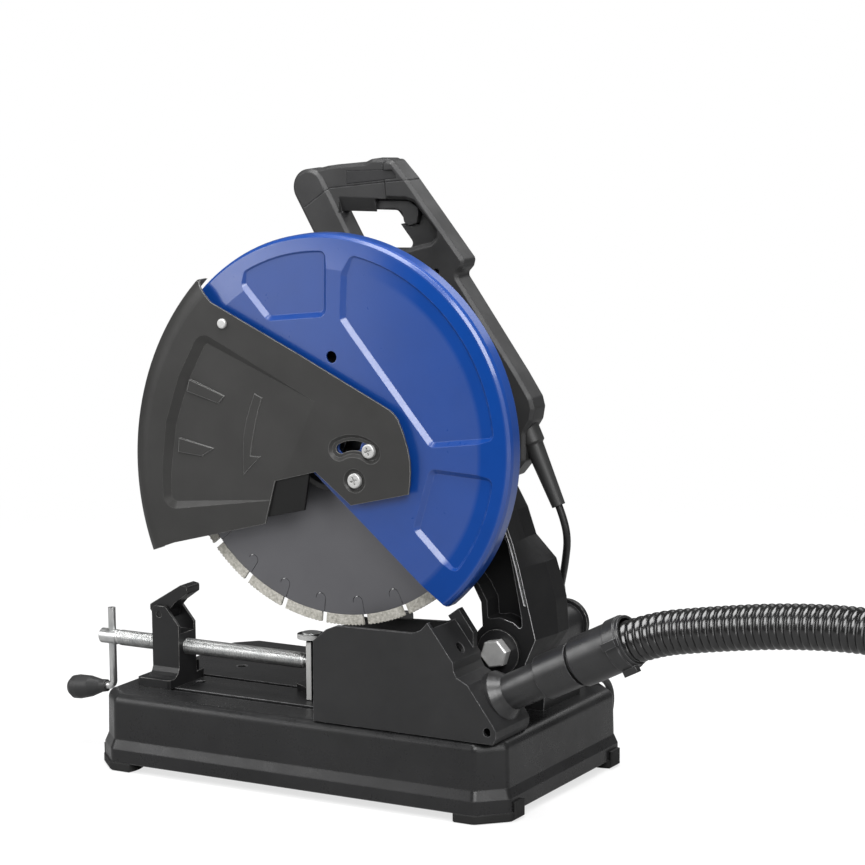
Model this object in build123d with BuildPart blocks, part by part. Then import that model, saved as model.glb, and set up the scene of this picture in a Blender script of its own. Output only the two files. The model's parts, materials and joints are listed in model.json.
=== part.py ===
import os
from math import atan2, cos, degrees, pi, radians, sin, sqrt, tan

from build123d import *

os.makedirs("parts", exist_ok=True)

# Clearances
run_gap = 0.05
seat_gap = 0.02
face_gap = 0.3
slide_gap = 0.3

# Base pan
base_length = 444
base_width = 272
base_corner = 25
base_top = 74
base_sheet = 3
base_round = 8
foot_height = 8
foot_lip = 1.4
foot_lug = 3.4
foot_lug_height = 9
foot_reach = 36
skirt_height = 22
skirt_rise = 9
skirt_flare = 3.6
wall_draft = 1.2
top_edge_round = 9

# Saw head
blade_x = 30
blade_y = -88
blade_z = 332.5
blade_r = 175
blade_core_thick = 2.4
segment_height = 10
segment_thick = 3.2
segment_count = 24
segment_gap = 5.4
segment_phase = 10.1
arbor_r = 12.7
flange_r = 50
flange_thick = 6

# Hinge
hinge_x = 183
hinge_z = 142
hinge_r = 8
arm_near = -58
arm_far = 0
post_r = 19
post_near = 0.5
post_far = 76

# Motor and gears
motor_dx = -20
motor_dz = 42
motor_r = 50
motor_wall = 4
motor_front = -14
motor_back = 96
motor_x = blade_x + motor_dx
motor_z = blade_z + motor_dz
gear_distance = sqrt(motor_dx**2 + motor_dz**2)
pinion_r = 8.9
gear_r = gear_distance - pinion_r - 0.2
spindle_r = 10
shaft_r = 6

# Guard cover
guard_r = 189
guard_sheet = 2
guard_front = -108.5
guard_back = -86
guard_chord = 30.6
guard_chord_angle = 49.8
panel_depth = 3.8
panel_slope = 4.5
guard_rear_r = 179
guard_rear_back = -70

# Swing guard
swing_dx = 36
swing_dz = -32.5
swing_r = 247.5
swing_sheet = 2
swing_front = -117
swing_back = -85.5
swing_bolt_r = 4
swing_slot_r = 32
swing_x = blade_x + swing_dx
swing_z = blade_z + swing_dz

# Vise
screw_y = -60.5
screw_z = 111
screw_r = 7.7
screw_head_r = 7.4
neck_r = 4.5
fence_x = 0
fence_thick = 6
jaw_gap = 14
jaw_thick = 5.4
jaw_height = 58.5
slot_width = 10
guide_y = -26.5
guide_width = 8
lever_pin_r = 3

# Dust outlet and hose
box_near = -129
box_far = -64
box_wall = 4
box_front = 26
pipe_y = -90
pipe_angle = 27
pipe_r = 17
pipe_bore = 14
hose_r = 20
hose_valley_r = 18.2
hose_bore_r = 16.4
hose_pitch = 7.2

# Cord
cord_r = 3.5
coil_r = 41
coil_pitch = 7.7
coil_turns = 6


def side(y):
    """Plane whose sketch axes are X and Z at the given y; it extrudes toward the near side."""
    return Plane.XZ.offset(-y)


def around(x, z):
    """Half-section plane of a turned shape about an axis along Y: sketch axes are radius and y."""
    return Plane(origin=(x, 0, z), x_dir=(1, 0, 0), z_dir=(0, 0, 1))


def axis_y(x, z):
    return Axis((x, 0, z), (0, 1, 0))


def moved(points, dx, dz):
    return [(x + dx, z + dz) for x, z in points]


# Base pan: skirt, sloped shoulder, drawn upper wall, hollow below
def base_outline(inset, cut):
    """Base outline drawn in by the given inset, its corners cut off and rounded."""
    Rectangle(base_length - 2 * inset, base_width - 2 * inset)
    chamfer(vertices(), base_corner - cut)
    fillet(vertices(), base_round)


skirt_top = foot_height + skirt_height
hollow_inset = skirt_flare + base_sheet
hollow_shoulder = base_top - base_sheet - 8
with BuildPart() as base_pan:
    with BuildSketch(Plane.XY.offset(foot_height)):
        base_outline(0, 0)
    extrude(amount=skirt_height - skirt_rise)
    with BuildSketch(Plane.XY.offset(skirt_top - skirt_rise)):
        base_outline(0, 0)
    with BuildSketch(Plane.XY.offset(skirt_top)):
        base_outline(skirt_flare, 2)
    loft(ruled=True)
    with BuildSketch(Plane.XY.offset(skirt_top)):
        base_outline(skirt_flare, 2)
    extrude(amount=base_top - skirt_top, taper=wall_draft)
    fillet(faces().sort_by(Axis.Z)[-1].edges(), top_edge_round)
    with BuildSketch(Plane.XY.offset(foot_height)):
        base_outline(hollow_inset, 3)
    extrude(amount=hollow_shoulder - foot_height, taper=wall_draft, mode=Mode.SUBTRACT)
    with BuildSketch(Plane.XY.offset(hollow_shoulder)):
        base_outline(hollow_inset + 2, 4)
    extrude(amount=base_top - base_sheet - hollow_shoulder, taper=35, mode=Mode.SUBTRACT)
    with BuildSketch(Plane.XY.offset(base_top)):
        with Locations((-71, blade_y)):
            SlotOverall(222, slot_width)
        with Locations((-92, guide_y)):
            SlotOverall(178, guide_width)
        with Locations((-148, 22.5), (-148, -51)):
            Circle(5)
    extrude(amount=-2 * base_sheet, mode=Mode.SUBTRACT)
base_pan.part.label = "base_pan"
export_step(base_pan.part, "parts/base_pan.step")

# Rubber feet wrapped round the four corners
foot_x = base_length / 2 - base_corner / 2
foot_y = base_width / 2 - base_corner / 2
lug_x = (base_length + foot_lug) / 2 + seat_gap
lug_y = base_width / 2 - base_corner - 12


def foot(sx, sy):
    with BuildPart() as block:
        with BuildSketch():
            Rectangle(base_length + 2 * foot_lip, base_width + 2 * foot_lip)
            chamfer(vertices(), base_corner + foot_lip * 0.6)
            fillet(vertices(), base_round)
            with Locations((sx * foot_x, sy * foot_y)):
                Circle(foot_reach, mode=Mode.INTERSECT)
        extrude(amount=foot_height)
        chamfer(faces().sort_by(Axis.Z)[0].edges(), 1.2)
        with BuildSketch(Plane.XY.offset(2)):
            with Locations((sx * lug_x, sy * lug_y)):
                RectangleRounded(foot_lug, 18, 1.5)
        extrude(amount=foot_height + foot_lug_height - 2)
    return block


foot_near_left = foot(-1, -1)
foot_near_left.part.label = "foot_near_left"
export_step(foot_near_left.part, "parts/foot_near_left.step")
foot_near_right = foot(1, -1)
foot_near_right.part.label = "foot_near_right"
export_step(foot_near_right.part, "parts/foot_near_right.step")
foot_far_left = foot(-1, 1)
foot_far_left.part.label = "foot_far_left"
export_step(foot_far_left.part, "parts/foot_far_left.step")
foot_far_right = foot(1, 1)
foot_far_right.part.label = "foot_far_right"
export_step(foot_far_right.part, "parts/foot_far_right.step")

# Hinge post with the return spring's chamber in its far half
spring_wire_r = 1.75
spring_r = 11.8
spring_start = post_far - 36
spring_pitch = 5
spring_turns = 6
chamber_r = spring_r + spring_wire_r + 0.6
chamber_depth = 40
with BuildPart() as hinge_post:
    with BuildSketch(side(post_far)):
        with BuildLine():
            Polyline(
                (hinge_x - 26, base_top),
                (hinge_x - post_r, hinge_z),
                (hinge_x + post_r, hinge_z),
                (hinge_x + 15, base_top),
                close=True,
            )
        make_face()
        with Locations((hinge_x, hinge_z)):
            Circle(post_r)
    extrude(amount=post_far - post_near)
    with BuildSketch(side(post_far)):
        with Locations((hinge_x, hinge_z)):
            Circle(chamber_r)
    extrude(amount=chamber_depth, mode=Mode.SUBTRACT)
    with BuildSketch(side(post_far)):
        with Locations((hinge_x, hinge_z)):
            Circle(hinge_r + seat_gap)
    extrude(amount=post_far - post_near, mode=Mode.SUBTRACT)
hinge_post.part.label = "hinge_post"
export_step(hinge_post.part, "parts/hinge_post.step")

# Hinge bolt, washer and end cap
washer_thick = 3.4
head_thick = 10
head_back = arm_near - face_gap - washer_thick - seat_gap
cap_thick = 9
with BuildPart() as hinge_bolt:
    with BuildSketch(side(post_far + 2)):
        with Locations((hinge_x, hinge_z)):
            Circle(hinge_r)
    extrude(amount=post_far + 2 - head_back)
    with BuildSketch(side(head_back)):
        with Locations((hinge_x, hinge_z)):
            RegularPolygon(13.6, 6, rotation=12)
    extrude(amount=head_thick)
    chamfer(faces().sort_by(Axis.Y)[0].edges(), 1.2)
hinge_bolt.part.label = "hinge_bolt"
export_step(hinge_bolt.part, "parts/hinge_bolt.step")

with BuildPart() as hinge_washer:
    with BuildSketch(side(arm_near - face_gap)):
        with Locations((hinge_x, hinge_z)):
            Circle(21)
            Circle(hinge_r + seat_gap, mode=Mode.SUBTRACT)
    extrude(amount=washer_thick)
hinge_washer.part.label = "hinge_washer"
export_step(hinge_washer.part, "parts/hinge_washer.step")

with BuildPart() as hinge_cap:
    with BuildSketch(around(hinge_x, hinge_z)):
        with BuildLine():
            Polyline(
                (hinge_r + seat_gap, post_far),
                (post_r + 3.5, post_far),
                (post_r + 3.5, post_far + 5),
                (post_r - 3, post_far + cap_thick),
                (0, post_far + cap_thick),
                (0, post_far + 2 + seat_gap),
                (hinge_r + seat_gap, post_far + 2 + seat_gap),
                close=True,
            )
        make_face()
    revolve(axis=axis_y(hinge_x, hinge_z))
hinge_cap.part.label = "hinge_cap"
export_step(hinge_cap.part, "parts/hinge_cap.step")

# Arm casting with the gear head at its upper end
case_r = 58
case_front = -69
case_back = motor_front
case_inner = -60
arm_left = [(-20, -6), (-17.6, 21.5), (-19, 44), (-26.5, 58), (-45, 76), (-88, 122), (-133, 148), (-150, 190)]
arm_right_far = [(-11, 143), (-0.7, 125), (8, 100), (28.5, 79.5), (35.6, 57), (39, 45), (41.5, 14), (24, -14)]
arm_right_near = [(-9, 143), (4, 126), (13.5, 101), (20, 79), (25.5, 57), (28.6, 45), (36.5, 14), (24, -14)]
arm_top = [(-105, 215), (-34, 158)]
arm_outline = moved(arm_left + arm_top + arm_right_far, hinge_x, hinge_z)
arm_face = moved(arm_left + arm_top + arm_right_near, hinge_x, hinge_z)
arm_pocket = moved(
    [
        (-12, 29),
        (-13, 46),
        (-21, 60),
        (-39, 80),
        (-72, 118),
        (-62, 138),
        (-20, 131),
        (-2, 119),
        (8.5, 100),
        (13.5, 79),
        (22.5, 33),
        (23, 21),
        (14, 28),
        (0, 31.5),
    ],
    hinge_x,
    hinge_z,
)
arm_flank = -22
groove_depth = 0.9
groove_left = moved([(x - 3.6, z) for x, z in arm_right_near[1:6]], hinge_x, hinge_z)
groove_right = moved([(x - 1.9, z) for x, z in reversed(arm_right_near[1:6])], hinge_x, hinge_z)
with BuildPart() as arm_casting:
    with BuildSketch(side(arm_far)):
        with BuildLine():
            Polyline(*arm_outline, close=True)
        make_face()
    extrude(amount=arm_far - arm_flank)
    with BuildSketch(side(arm_flank)):
        with BuildLine():
            Polyline(*arm_outline, close=True)
        make_face()
    with BuildSketch(side(arm_near)):
        with BuildLine():
            Polyline(*arm_face, close=True)
        make_face()
    loft(ruled=True)
    with BuildSketch(side(arm_far)):
        with Locations((hinge_x, hinge_z)):
            Circle(28)
    extrude(amount=arm_far - arm_near)
    with BuildSketch(side(arm_near + 22)):
        with BuildLine():
            FilletPolyline(*arm_pocket, radius=2.5, close=True)
        make_face()
    extrude(amount=30, mode=Mode.SUBTRACT)
    with BuildSketch(side(arm_near + groove_depth)):
        with BuildLine():
            Polyline(*groove_left, *groove_right, close=True)
        make_face()
    extrude(amount=groove_depth + 1, mode=Mode.SUBTRACT)
    with BuildSketch(side(case_back)):
        with Locations((blade_x, blade_z)):
            Circle(case_r)
        with Locations((motor_x, motor_z)):
            Circle(34)
        make_hull()
    extrude(amount=case_back - case_front)
    with BuildSketch(side(arm_far + 1)):
        with Locations((motor_x, motor_z)):
            Circle(motor_r + 0.2)
    extrude(amount=arm_far + 1 - case_back, mode=Mode.SUBTRACT)
    with BuildSketch(side(case_back)):
        with Locations((blade_x, blade_z)):
            Circle(gear_r + 4)
        with Locations((motor_x, motor_z)):
            Circle(pinion_r + 5)
    extrude(amount=case_back - case_inner, mode=Mode.SUBTRACT)
    with BuildSketch(side(case_inner + 1)):
        with Locations((blade_x, blade_z)):
            Circle(17 + seat_gap)
    extrude(amount=case_inner + 1 - case_front + 1, mode=Mode.SUBTRACT)
    with BuildSketch(side(arm_far + 1)):
        with Locations((hinge_x, hinge_z)):
            Circle(hinge_r + run_gap)
    extrude(amount=arm_far - arm_near + 2, mode=Mode.SUBTRACT)
arm_casting.part.label = "arm_casting"
export_step(arm_casting.part, "parts/arm_casting.step")

with BuildPart() as spindle_bearing:
    with BuildSketch(side(case_inner + 1)):
        with Locations((blade_x, blade_z)):
            Circle(17)
            Circle(spindle_r + run_gap, mode=Mode.SUBTRACT)
    extrude(amount=case_inner + 1 - case_front)
spindle_bearing.part.label = "spindle_bearing"
export_step(spindle_bearing.part, "parts/spindle_bearing.step")

# Spindle, gear, flanges, bolt, blade
core_half = blade_core_thick / 2
inner_seat = blade_y + core_half
outer_seat = blade_y - core_half
flange_out = outer_seat - flange_thick
spindle_tail = motor_front - 1
shoulder = inner_seat + flange_thick
with BuildPart() as spindle:
    with BuildSketch(side(spindle_tail)):
        with Locations((blade_x, blade_z)):
            Circle(spindle_r)
    extrude(amount=spindle_tail - shoulder)
    with BuildSketch(side(shoulder)):
        with Locations((blade_x, blade_z)):
            Circle(arbor_r - seat_gap)
    extrude(amount=shoulder - flange_out + 1)
    with BuildSketch(side(flange_out + 8)):
        with Locations((blade_x, blade_z)):
            Circle(5 + seat_gap)
    extrude(amount=12, mode=Mode.SUBTRACT)
spindle.part.label = "spindle"
export_step(spindle.part, "parts/spindle.step")

with BuildPart() as inner_flange:
    with BuildSketch(side(shoulder)):
        with Locations((blade_x, blade_z)):
            Circle(flange_r)
            Circle(arbor_r, mode=Mode.SUBTRACT)
    extrude(amount=flange_thick)
inner_flange.part.label = "inner_flange"
export_step(inner_flange.part, "parts/inner_flange.step")

with BuildPart() as outer_flange:
    with BuildSketch(around(blade_x, blade_z)):
        with BuildLine():
            Polyline(
                (arbor_r, outer_seat),
                (flange_r, outer_seat),
                (flange_r, outer_seat - 3),
                (flange_r - 6, flange_out),
                (arbor_r, flange_out),
                close=True,
            )
        make_face()
    revolve(axis=axis_y(blade_x, blade_z))
outer_flange.part.label = "outer_flange"
export_step(outer_flange.part, "parts/outer_flange.step")

with BuildPart() as blade_bolt:
    with BuildSketch(side(flange_out + 7)):
        with Locations((blade_x, blade_z)):
            Circle(5)
    extrude(amount=8)
    with BuildSketch(side(flange_out - 1)):
        with Locations((blade_x, blade_z)):
            Circle(16)
    extrude(amount=2)
    with BuildSketch(side(flange_out - 3)):
        with Locations((blade_x, blade_z)):
            RegularPolygon(9.8, 6)
    extrude(amount=6)
blade_bolt.part.label = "blade_bolt"
export_step(blade_bolt.part, "parts/blade_bolt.step")

core_r = blade_r - segment_height
slit_straight = 12.3
slit_width = 0.45
hook_r = 5
with BuildPart() as blade_core:
    with BuildSketch() as slit:
        with BuildLine() as hook:
            CenterArc((core_r - slit_straight, -hook_r), hook_r, 90, 185)
        SlotArc(hook.edges()[0], slit_width)
        with Locations((core_r - slit_straight / 2 + 1, 0)):
            Rectangle(slit_straight + 2, slit_width)
    with BuildSketch(side(inner_seat)) as core_shape:
        with Locations((blade_x, blade_z)):
            Circle(core_r)
            Circle(arbor_r, mode=Mode.SUBTRACT)
            with PolarLocations(0, segment_count, segment_phase):
                add(slit.sketch, mode=Mode.SUBTRACT)
    extrude(core_shape.sketch, amount=blade_core_thick)
blade_core.part.label = "blade_core"
export_step(blade_core.part, "parts/blade_core.step")

with BuildPart() as blade_segments:
    with BuildSketch(side(blade_y + segment_thick / 2)):
        with Locations((blade_x, blade_z)):
            Circle(blade_r)
            Circle(core_r + seat_gap, mode=Mode.SUBTRACT)
            with PolarLocations(blade_r - segment_height / 2, segment_count, segment_phase):
                Rectangle(segment_height + 4, segment_gap, mode=Mode.SUBTRACT)
    extrude(amount=segment_thick)
blade_segments.part.label = "blade_segments"
export_step(blade_segments.part, "parts/blade_segments.step")

with BuildPart() as drive_gear:
    with BuildSketch(side(-32)):
        with Locations((blade_x, blade_z)):
            Circle(gear_r)
            Circle(spindle_r + seat_gap, mode=Mode.SUBTRACT)
            with PolarLocations(24, 5):
                Circle(6, mode=Mode.SUBTRACT)
    extrude(amount=14)
drive_gear.part.label = "drive_gear"
export_step(drive_gear.part, "parts/drive_gear.step")

# Motor: housing, cap, stator, armature, fan, brushes
with BuildPart() as motor_housing:
    with BuildSketch(side(motor_back)):
        with Locations((motor_x, motor_z)):
            Circle(motor_r)
    extrude(amount=motor_back - motor_front - seat_gap)
    with BuildSketch(side(motor_back)):
        with Locations((motor_x, motor_z)):
            Circle(motor_r - motor_wall)
    extrude(amount=motor_back - motor_front - 8, mode=Mode.SUBTRACT)
    with BuildSketch(side(motor_front + 8)):
        with Locations((motor_x, motor_z)):
            Circle(shaft_r + run_gap)
    extrude(amount=9, mode=Mode.SUBTRACT)
motor_housing.part.label = "motor_housing"
export_step(motor_housing.part, "parts/motor_housing.step")

cap_depth = 15
with BuildPart() as motor_cap:
    with BuildSketch(around(motor_x, motor_z)):
        with BuildLine():
            Polyline(
                (0, motor_back + cap_depth),
                (motor_r - 12, motor_back + cap_depth),
                (motor_r, motor_back + 5),
                (motor_r, motor_back),
                (motor_r - motor_wall, motor_back),
                (motor_r - motor_wall, motor_back + 4),
                (motor_r - 14, motor_back + cap_depth - 4),
                (14, motor_back + cap_depth - 4),
                (14, motor_back),
                (shaft_r + run_gap, motor_back),
                (shaft_r + run_gap, motor_back + cap_depth - 4),
                (0, motor_back + cap_depth - 4),
                close=True,
            )
        make_face()
    revolve(axis=axis_y(motor_x, motor_z))
    with BuildSketch(side(motor_back + cap_depth + 1)):
        with Locations((motor_x, motor_z)):
            with PolarLocations(26, 12):
                SlotOverall(14, 4, mode=Mode.ADD)
    extrude(amount=8, mode=Mode.SUBTRACT)
motor_cap.part.label = "motor_cap"
export_step(motor_cap.part, "parts/motor_cap.step")

armature_r = 29
air_gap = 1
with BuildPart() as stator:
    with BuildSketch(side(66)):
        with Locations((motor_x, motor_z)):
            Circle(motor_r - motor_wall - seat_gap)
            Circle(armature_r + air_gap, mode=Mode.SUBTRACT)
    extrude(amount=54)
stator.part.label = "stator"
export_step(stator.part, "parts/stator.step")

commutator_r = 15
with BuildPart() as armature:
    with BuildSketch(around(motor_x, motor_z)):
        with BuildLine():
            Polyline(
                (0, -57),
                (pinion_r, -57),
                (pinion_r, -28),
                (shaft_r, -28),
                (shaft_r, 14),
                (armature_r, 14),
                (armature_r, 64),
                (shaft_r + 3, 64),
                (shaft_r + 3, 70),
                (commutator_r, 70),
                (commutator_r, 86),
                (shaft_r, 86),
                (shaft_r, motor_back + cap_depth - 6),
                (0, motor_back + cap_depth - 6),
                close=True,
            )
        make_face()
    revolve(axis=axis_y(motor_x, motor_z))
armature.part.label = "armature"
export_step(armature.part, "parts/armature.step")

with BuildPart() as fan:
    with BuildSketch(side(4)):
        with Locations((motor_x, motor_z)):
            Circle(motor_r - motor_wall - 3)
            Circle(shaft_r + seat_gap, mode=Mode.SUBTRACT)
    extrude(amount=3)
    with BuildSketch(side(11)):
        with Locations((motor_x, motor_z)):
            with PolarLocations(30, 11):
                Rectangle(22, 2.4, rotation=35)
    extrude(amount=8)
fan.part.label = "fan"
export_step(fan.part, "parts/fan.step")


def brush(sign):
    start = commutator_r + 0.1
    with BuildPart() as block:
        with BuildSketch(Plane.XY.offset(motor_z + sign * start)):
            with Locations((motor_x, 78)):
                Rectangle(7, 11)
        extrude(amount=sign * (motor_r - motor_wall - start - 0.8))
    return block


brush_upper = brush(1)
brush_upper.part.label = "brush_upper"
export_step(brush_upper.part, "parts/brush_upper.step")
brush_lower = brush(-1)
brush_lower.part.label = "brush_lower"
export_step(brush_lower.part, "parts/brush_lower.step")

# Guard cover: drawn disc cut by a chord, with three sunk panels
bevel_in = 158
bevel_out = 185.5
bevel_y = guard_front + 4
chord_n = (cos(radians(guard_chord_angle)), sin(radians(guard_chord_angle)))
chord_keep = Plane(
    origin=(blade_x - guard_chord * chord_n[0], 0, blade_z - guard_chord * chord_n[1]),
    x_dir=(0, 1, 0),
    z_dir=(chord_n[0], 0, chord_n[1]),
)
panel_r = 172
panel_wall = degrees(atan2(panel_slope, panel_depth))


def on_arc(radius, angle):
    return (blade_x + radius * cos(radians(angle)), blade_z + radius * sin(radians(angle)))


panel_left = moved([(-84, 140), (-57.7, 111.7), (-1, 118.4)], blade_x, blade_z)
panel_top = moved([(23.7, 152), (22, 114.2), (30.2, 103.7), (111.8, 6.6)], blade_x, blade_z)
panel_low = moved([(96.7, -73), (112.6, -21.4)], blade_x, blade_z)


def panel_sketch(plane, grow):
    with BuildSketch(plane) as drawn:
        with BuildLine():
            Polyline(on_arc(panel_r, 119), *panel_left, on_arc(panel_r, 90))
            ThreePointArc(on_arc(panel_r, 90), on_arc(panel_r, 104), on_arc(panel_r, 119))
        make_face()
        with BuildLine():
            Polyline(on_arc(panel_r, 80), *panel_top, on_arc(panel_r, 5))
            ThreePointArc(on_arc(panel_r, 5), on_arc(panel_r, 42), on_arc(panel_r, 80))
        make_face()
        with BuildLine():
            Polyline(on_arc(panel_r, -39), *panel_low, on_arc(panel_r, -8))
            ThreePointArc(on_arc(panel_r, -8), on_arc(panel_r, -24), on_arc(panel_r, -39))
        make_face()
        fillet(drawn.vertices(), 4)
        if grow:
            offset(amount=grow)
    return drawn.sketch


outer_profile = [
    (0, guard_front),
    (bevel_in, guard_front),
    (bevel_out, bevel_y),
    (guard_r - 1, bevel_y + 2.2),
    (guard_r, bevel_y + 6),
    (guard_r, guard_back),
]
with BuildPart() as panel_block:
    with BuildSketch(around(blade_x, blade_z)):
        with BuildLine():
            Polyline(*outer_profile, (0, guard_back), close=True)
        make_face()
    revolve(axis=axis_y(blade_x, blade_z))
    extrude(
        panel_sketch(side(guard_front + panel_depth + guard_sheet), panel_slope + guard_sheet),
        amount=20,
        mode=Mode.INTERSECT,
    )

swing_boss_r = 11
recess = 2.4
recess_slope = 3
stop_angle = 62
stop_x = swing_x + swing_slot_r * cos(radians(stop_angle))
stop_z = swing_z + swing_slot_r * sin(radians(stop_angle))
with BuildPart() as guard_cover:
    with BuildSketch(around(blade_x, blade_z)):
        with BuildLine():
            Polyline(
                *outer_profile,
                (guard_r - guard_sheet, guard_back),
                (guard_r - guard_sheet, bevel_y + 6.6),
                (guard_r - 2.8, bevel_y + 3.4),
                (bevel_out - 0.7, bevel_y + guard_sheet),
                (bevel_in - 0.2, guard_front + guard_sheet),
                (0, guard_front + guard_sheet),
                close=True,
            )
        make_face()
    revolve(axis=axis_y(blade_x, blade_z))
    add(panel_block.part)
    extrude(
        panel_sketch(side(guard_front + panel_depth), 0),
        amount=panel_depth + 1,
        taper=-panel_wall,
        mode=Mode.SUBTRACT,
    )
    split(bisect_by=chord_keep, keep=Keep.TOP)
    with BuildSketch(side(guard_front + guard_sheet)):
        with Locations((swing_x, swing_z), (stop_x, stop_z)):
            Circle(swing_boss_r)
    extrude(amount=guard_front + guard_sheet - swing_front - swing_sheet - recess - face_gap)
    with BuildSketch(side(guard_front + 2 * guard_sheet)):
        with Locations((swing_x, swing_z), (stop_x, stop_z)):
            Circle(swing_bolt_r + seat_gap)
    extrude(amount=20, mode=Mode.SUBTRACT)
    with BuildSketch(side(guard_front + 2 * guard_sheet)):
        with Locations((blade_x + 8.3, blade_z + 77.9)):
            Circle(5.5)
        with BuildLine():
            relief = CenterArc((swing_x, swing_z), swing_slot_r, stop_angle + 31, 26)
        SlotArc(relief, 2 * swing_bolt_r + 3)
    extrude(amount=20, mode=Mode.SUBTRACT)
guard_cover.part.label = "guard_cover"
export_step(guard_cover.part, "parts/guard_cover.step")

# Inner half of the guard, fixed on the gear head
with BuildPart() as guard_rear:
    with BuildSketch(around(blade_x, blade_z)):
        with BuildLine():
            Polyline(
                (40, guard_rear_back),
                (guard_rear_r, guard_rear_back),
                (guard_rear_r, guard_back + seat_gap),
                (guard_r - guard_sheet, guard_back + seat_gap),
                (guard_r - guard_sheet, guard_back - guard_sheet),
                (guard_rear_r - guard_sheet, guard_back - guard_sheet),
                (guard_rear_r - guard_sheet, guard_rear_back - guard_sheet),
                (40, guard_rear_back - guard_sheet),
                close=True,
            )
        make_face()
    revolve(axis=axis_y(blade_x, blade_z))
    split(bisect_by=chord_keep, keep=Keep.TOP)
    with BuildSketch(side(case_front)):
        with Locations((blade_x, blade_z)):
            with PolarLocations(47, 3, 0, 100):
                Circle(7)
    extrude(amount=case_front - guard_rear_back)
guard_rear.part.label = "guard_rear"
export_step(guard_rear.part, "parts/guard_rear.step")

# Swing guard: plate with a turned-in rim, sunk finger panel, slot for the stop bolt
swing_bend = 22
swing_outline = moved(
    [
        (-152, 155),
        (-55, 111),
        (36, 68),
        (41, 64.5),
        (45.5, 59.7),
        (51, 47.5),
        (55.5, 33.5),
        (57.6, 23),
        (58.2, 12),
        (57.4, 1),
        (56, -8),
        (-4, -23),
        (-41, 5),
        (-85, -7),
        (-96, -48),
        (-198, -75),
        (-248, -94),
        (-290, 0),
        (-250, 130),
        (-200, 173),
        (-168, 172.5),
    ],
    swing_x,
    swing_z,
)
swing_floor = moved(
    [(-160.4, 116.2), (-40.8, 59.9), (-88, -16), (-199.5, -33.6), (-200.5, -10), (-195, 38), (-180, 81)],
    swing_x,
    swing_z,
)
ramp_depth = 5
ramp_length = 130
ramp_wall = 9
ramp_angle = 26
ramp_n = (-cos(radians(ramp_angle)), sin(radians(ramp_angle)))
ramp_start = (swing_x - 62, swing_z + 26)
ramp_tilt = ramp_depth / ramp_length


def ramp_plane(back):
    """Sloping floor of the sunk panel: flush at its right end, deepest beside the rim."""
    return Plane(
        origin=(ramp_start[0], swing_front + back, ramp_start[1]),
        x_dir=(ramp_n[1], 0, -ramp_n[0]),
        z_dir=(ramp_tilt * ramp_n[0], -1, ramp_tilt * ramp_n[1]),
    )


with BuildPart() as ramp_pocket:
    with BuildSketch(side(swing_front + ramp_depth)):
        with BuildLine():
            FilletPolyline(*swing_floor, radius=4, close=True)
        make_face()
    extrude(amount=ramp_depth + 0.5, taper=-degrees(atan2(ramp_wall, ramp_depth)))
    split(bisect_by=ramp_plane(0), keep=Keep.TOP)

with BuildPart() as ramp_backing:
    with BuildSketch(side(swing_front + 2 * ramp_depth)):
        with BuildLine():
            FilletPolyline(*swing_floor, radius=4, close=True)
        make_face()
        offset(amount=ramp_wall + swing_sheet)
    extrude(amount=2 * ramp_depth - swing_sheet / 2)
    split(bisect_by=ramp_plane(swing_sheet), keep=Keep.TOP)

bean_start = stop_angle
bean_end = stop_angle + 55
seat_r = 7.5


def on_swing(radius, angle):
    return (swing_x + radius * cos(radians(angle)), swing_z + radius * sin(radians(angle)))


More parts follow.
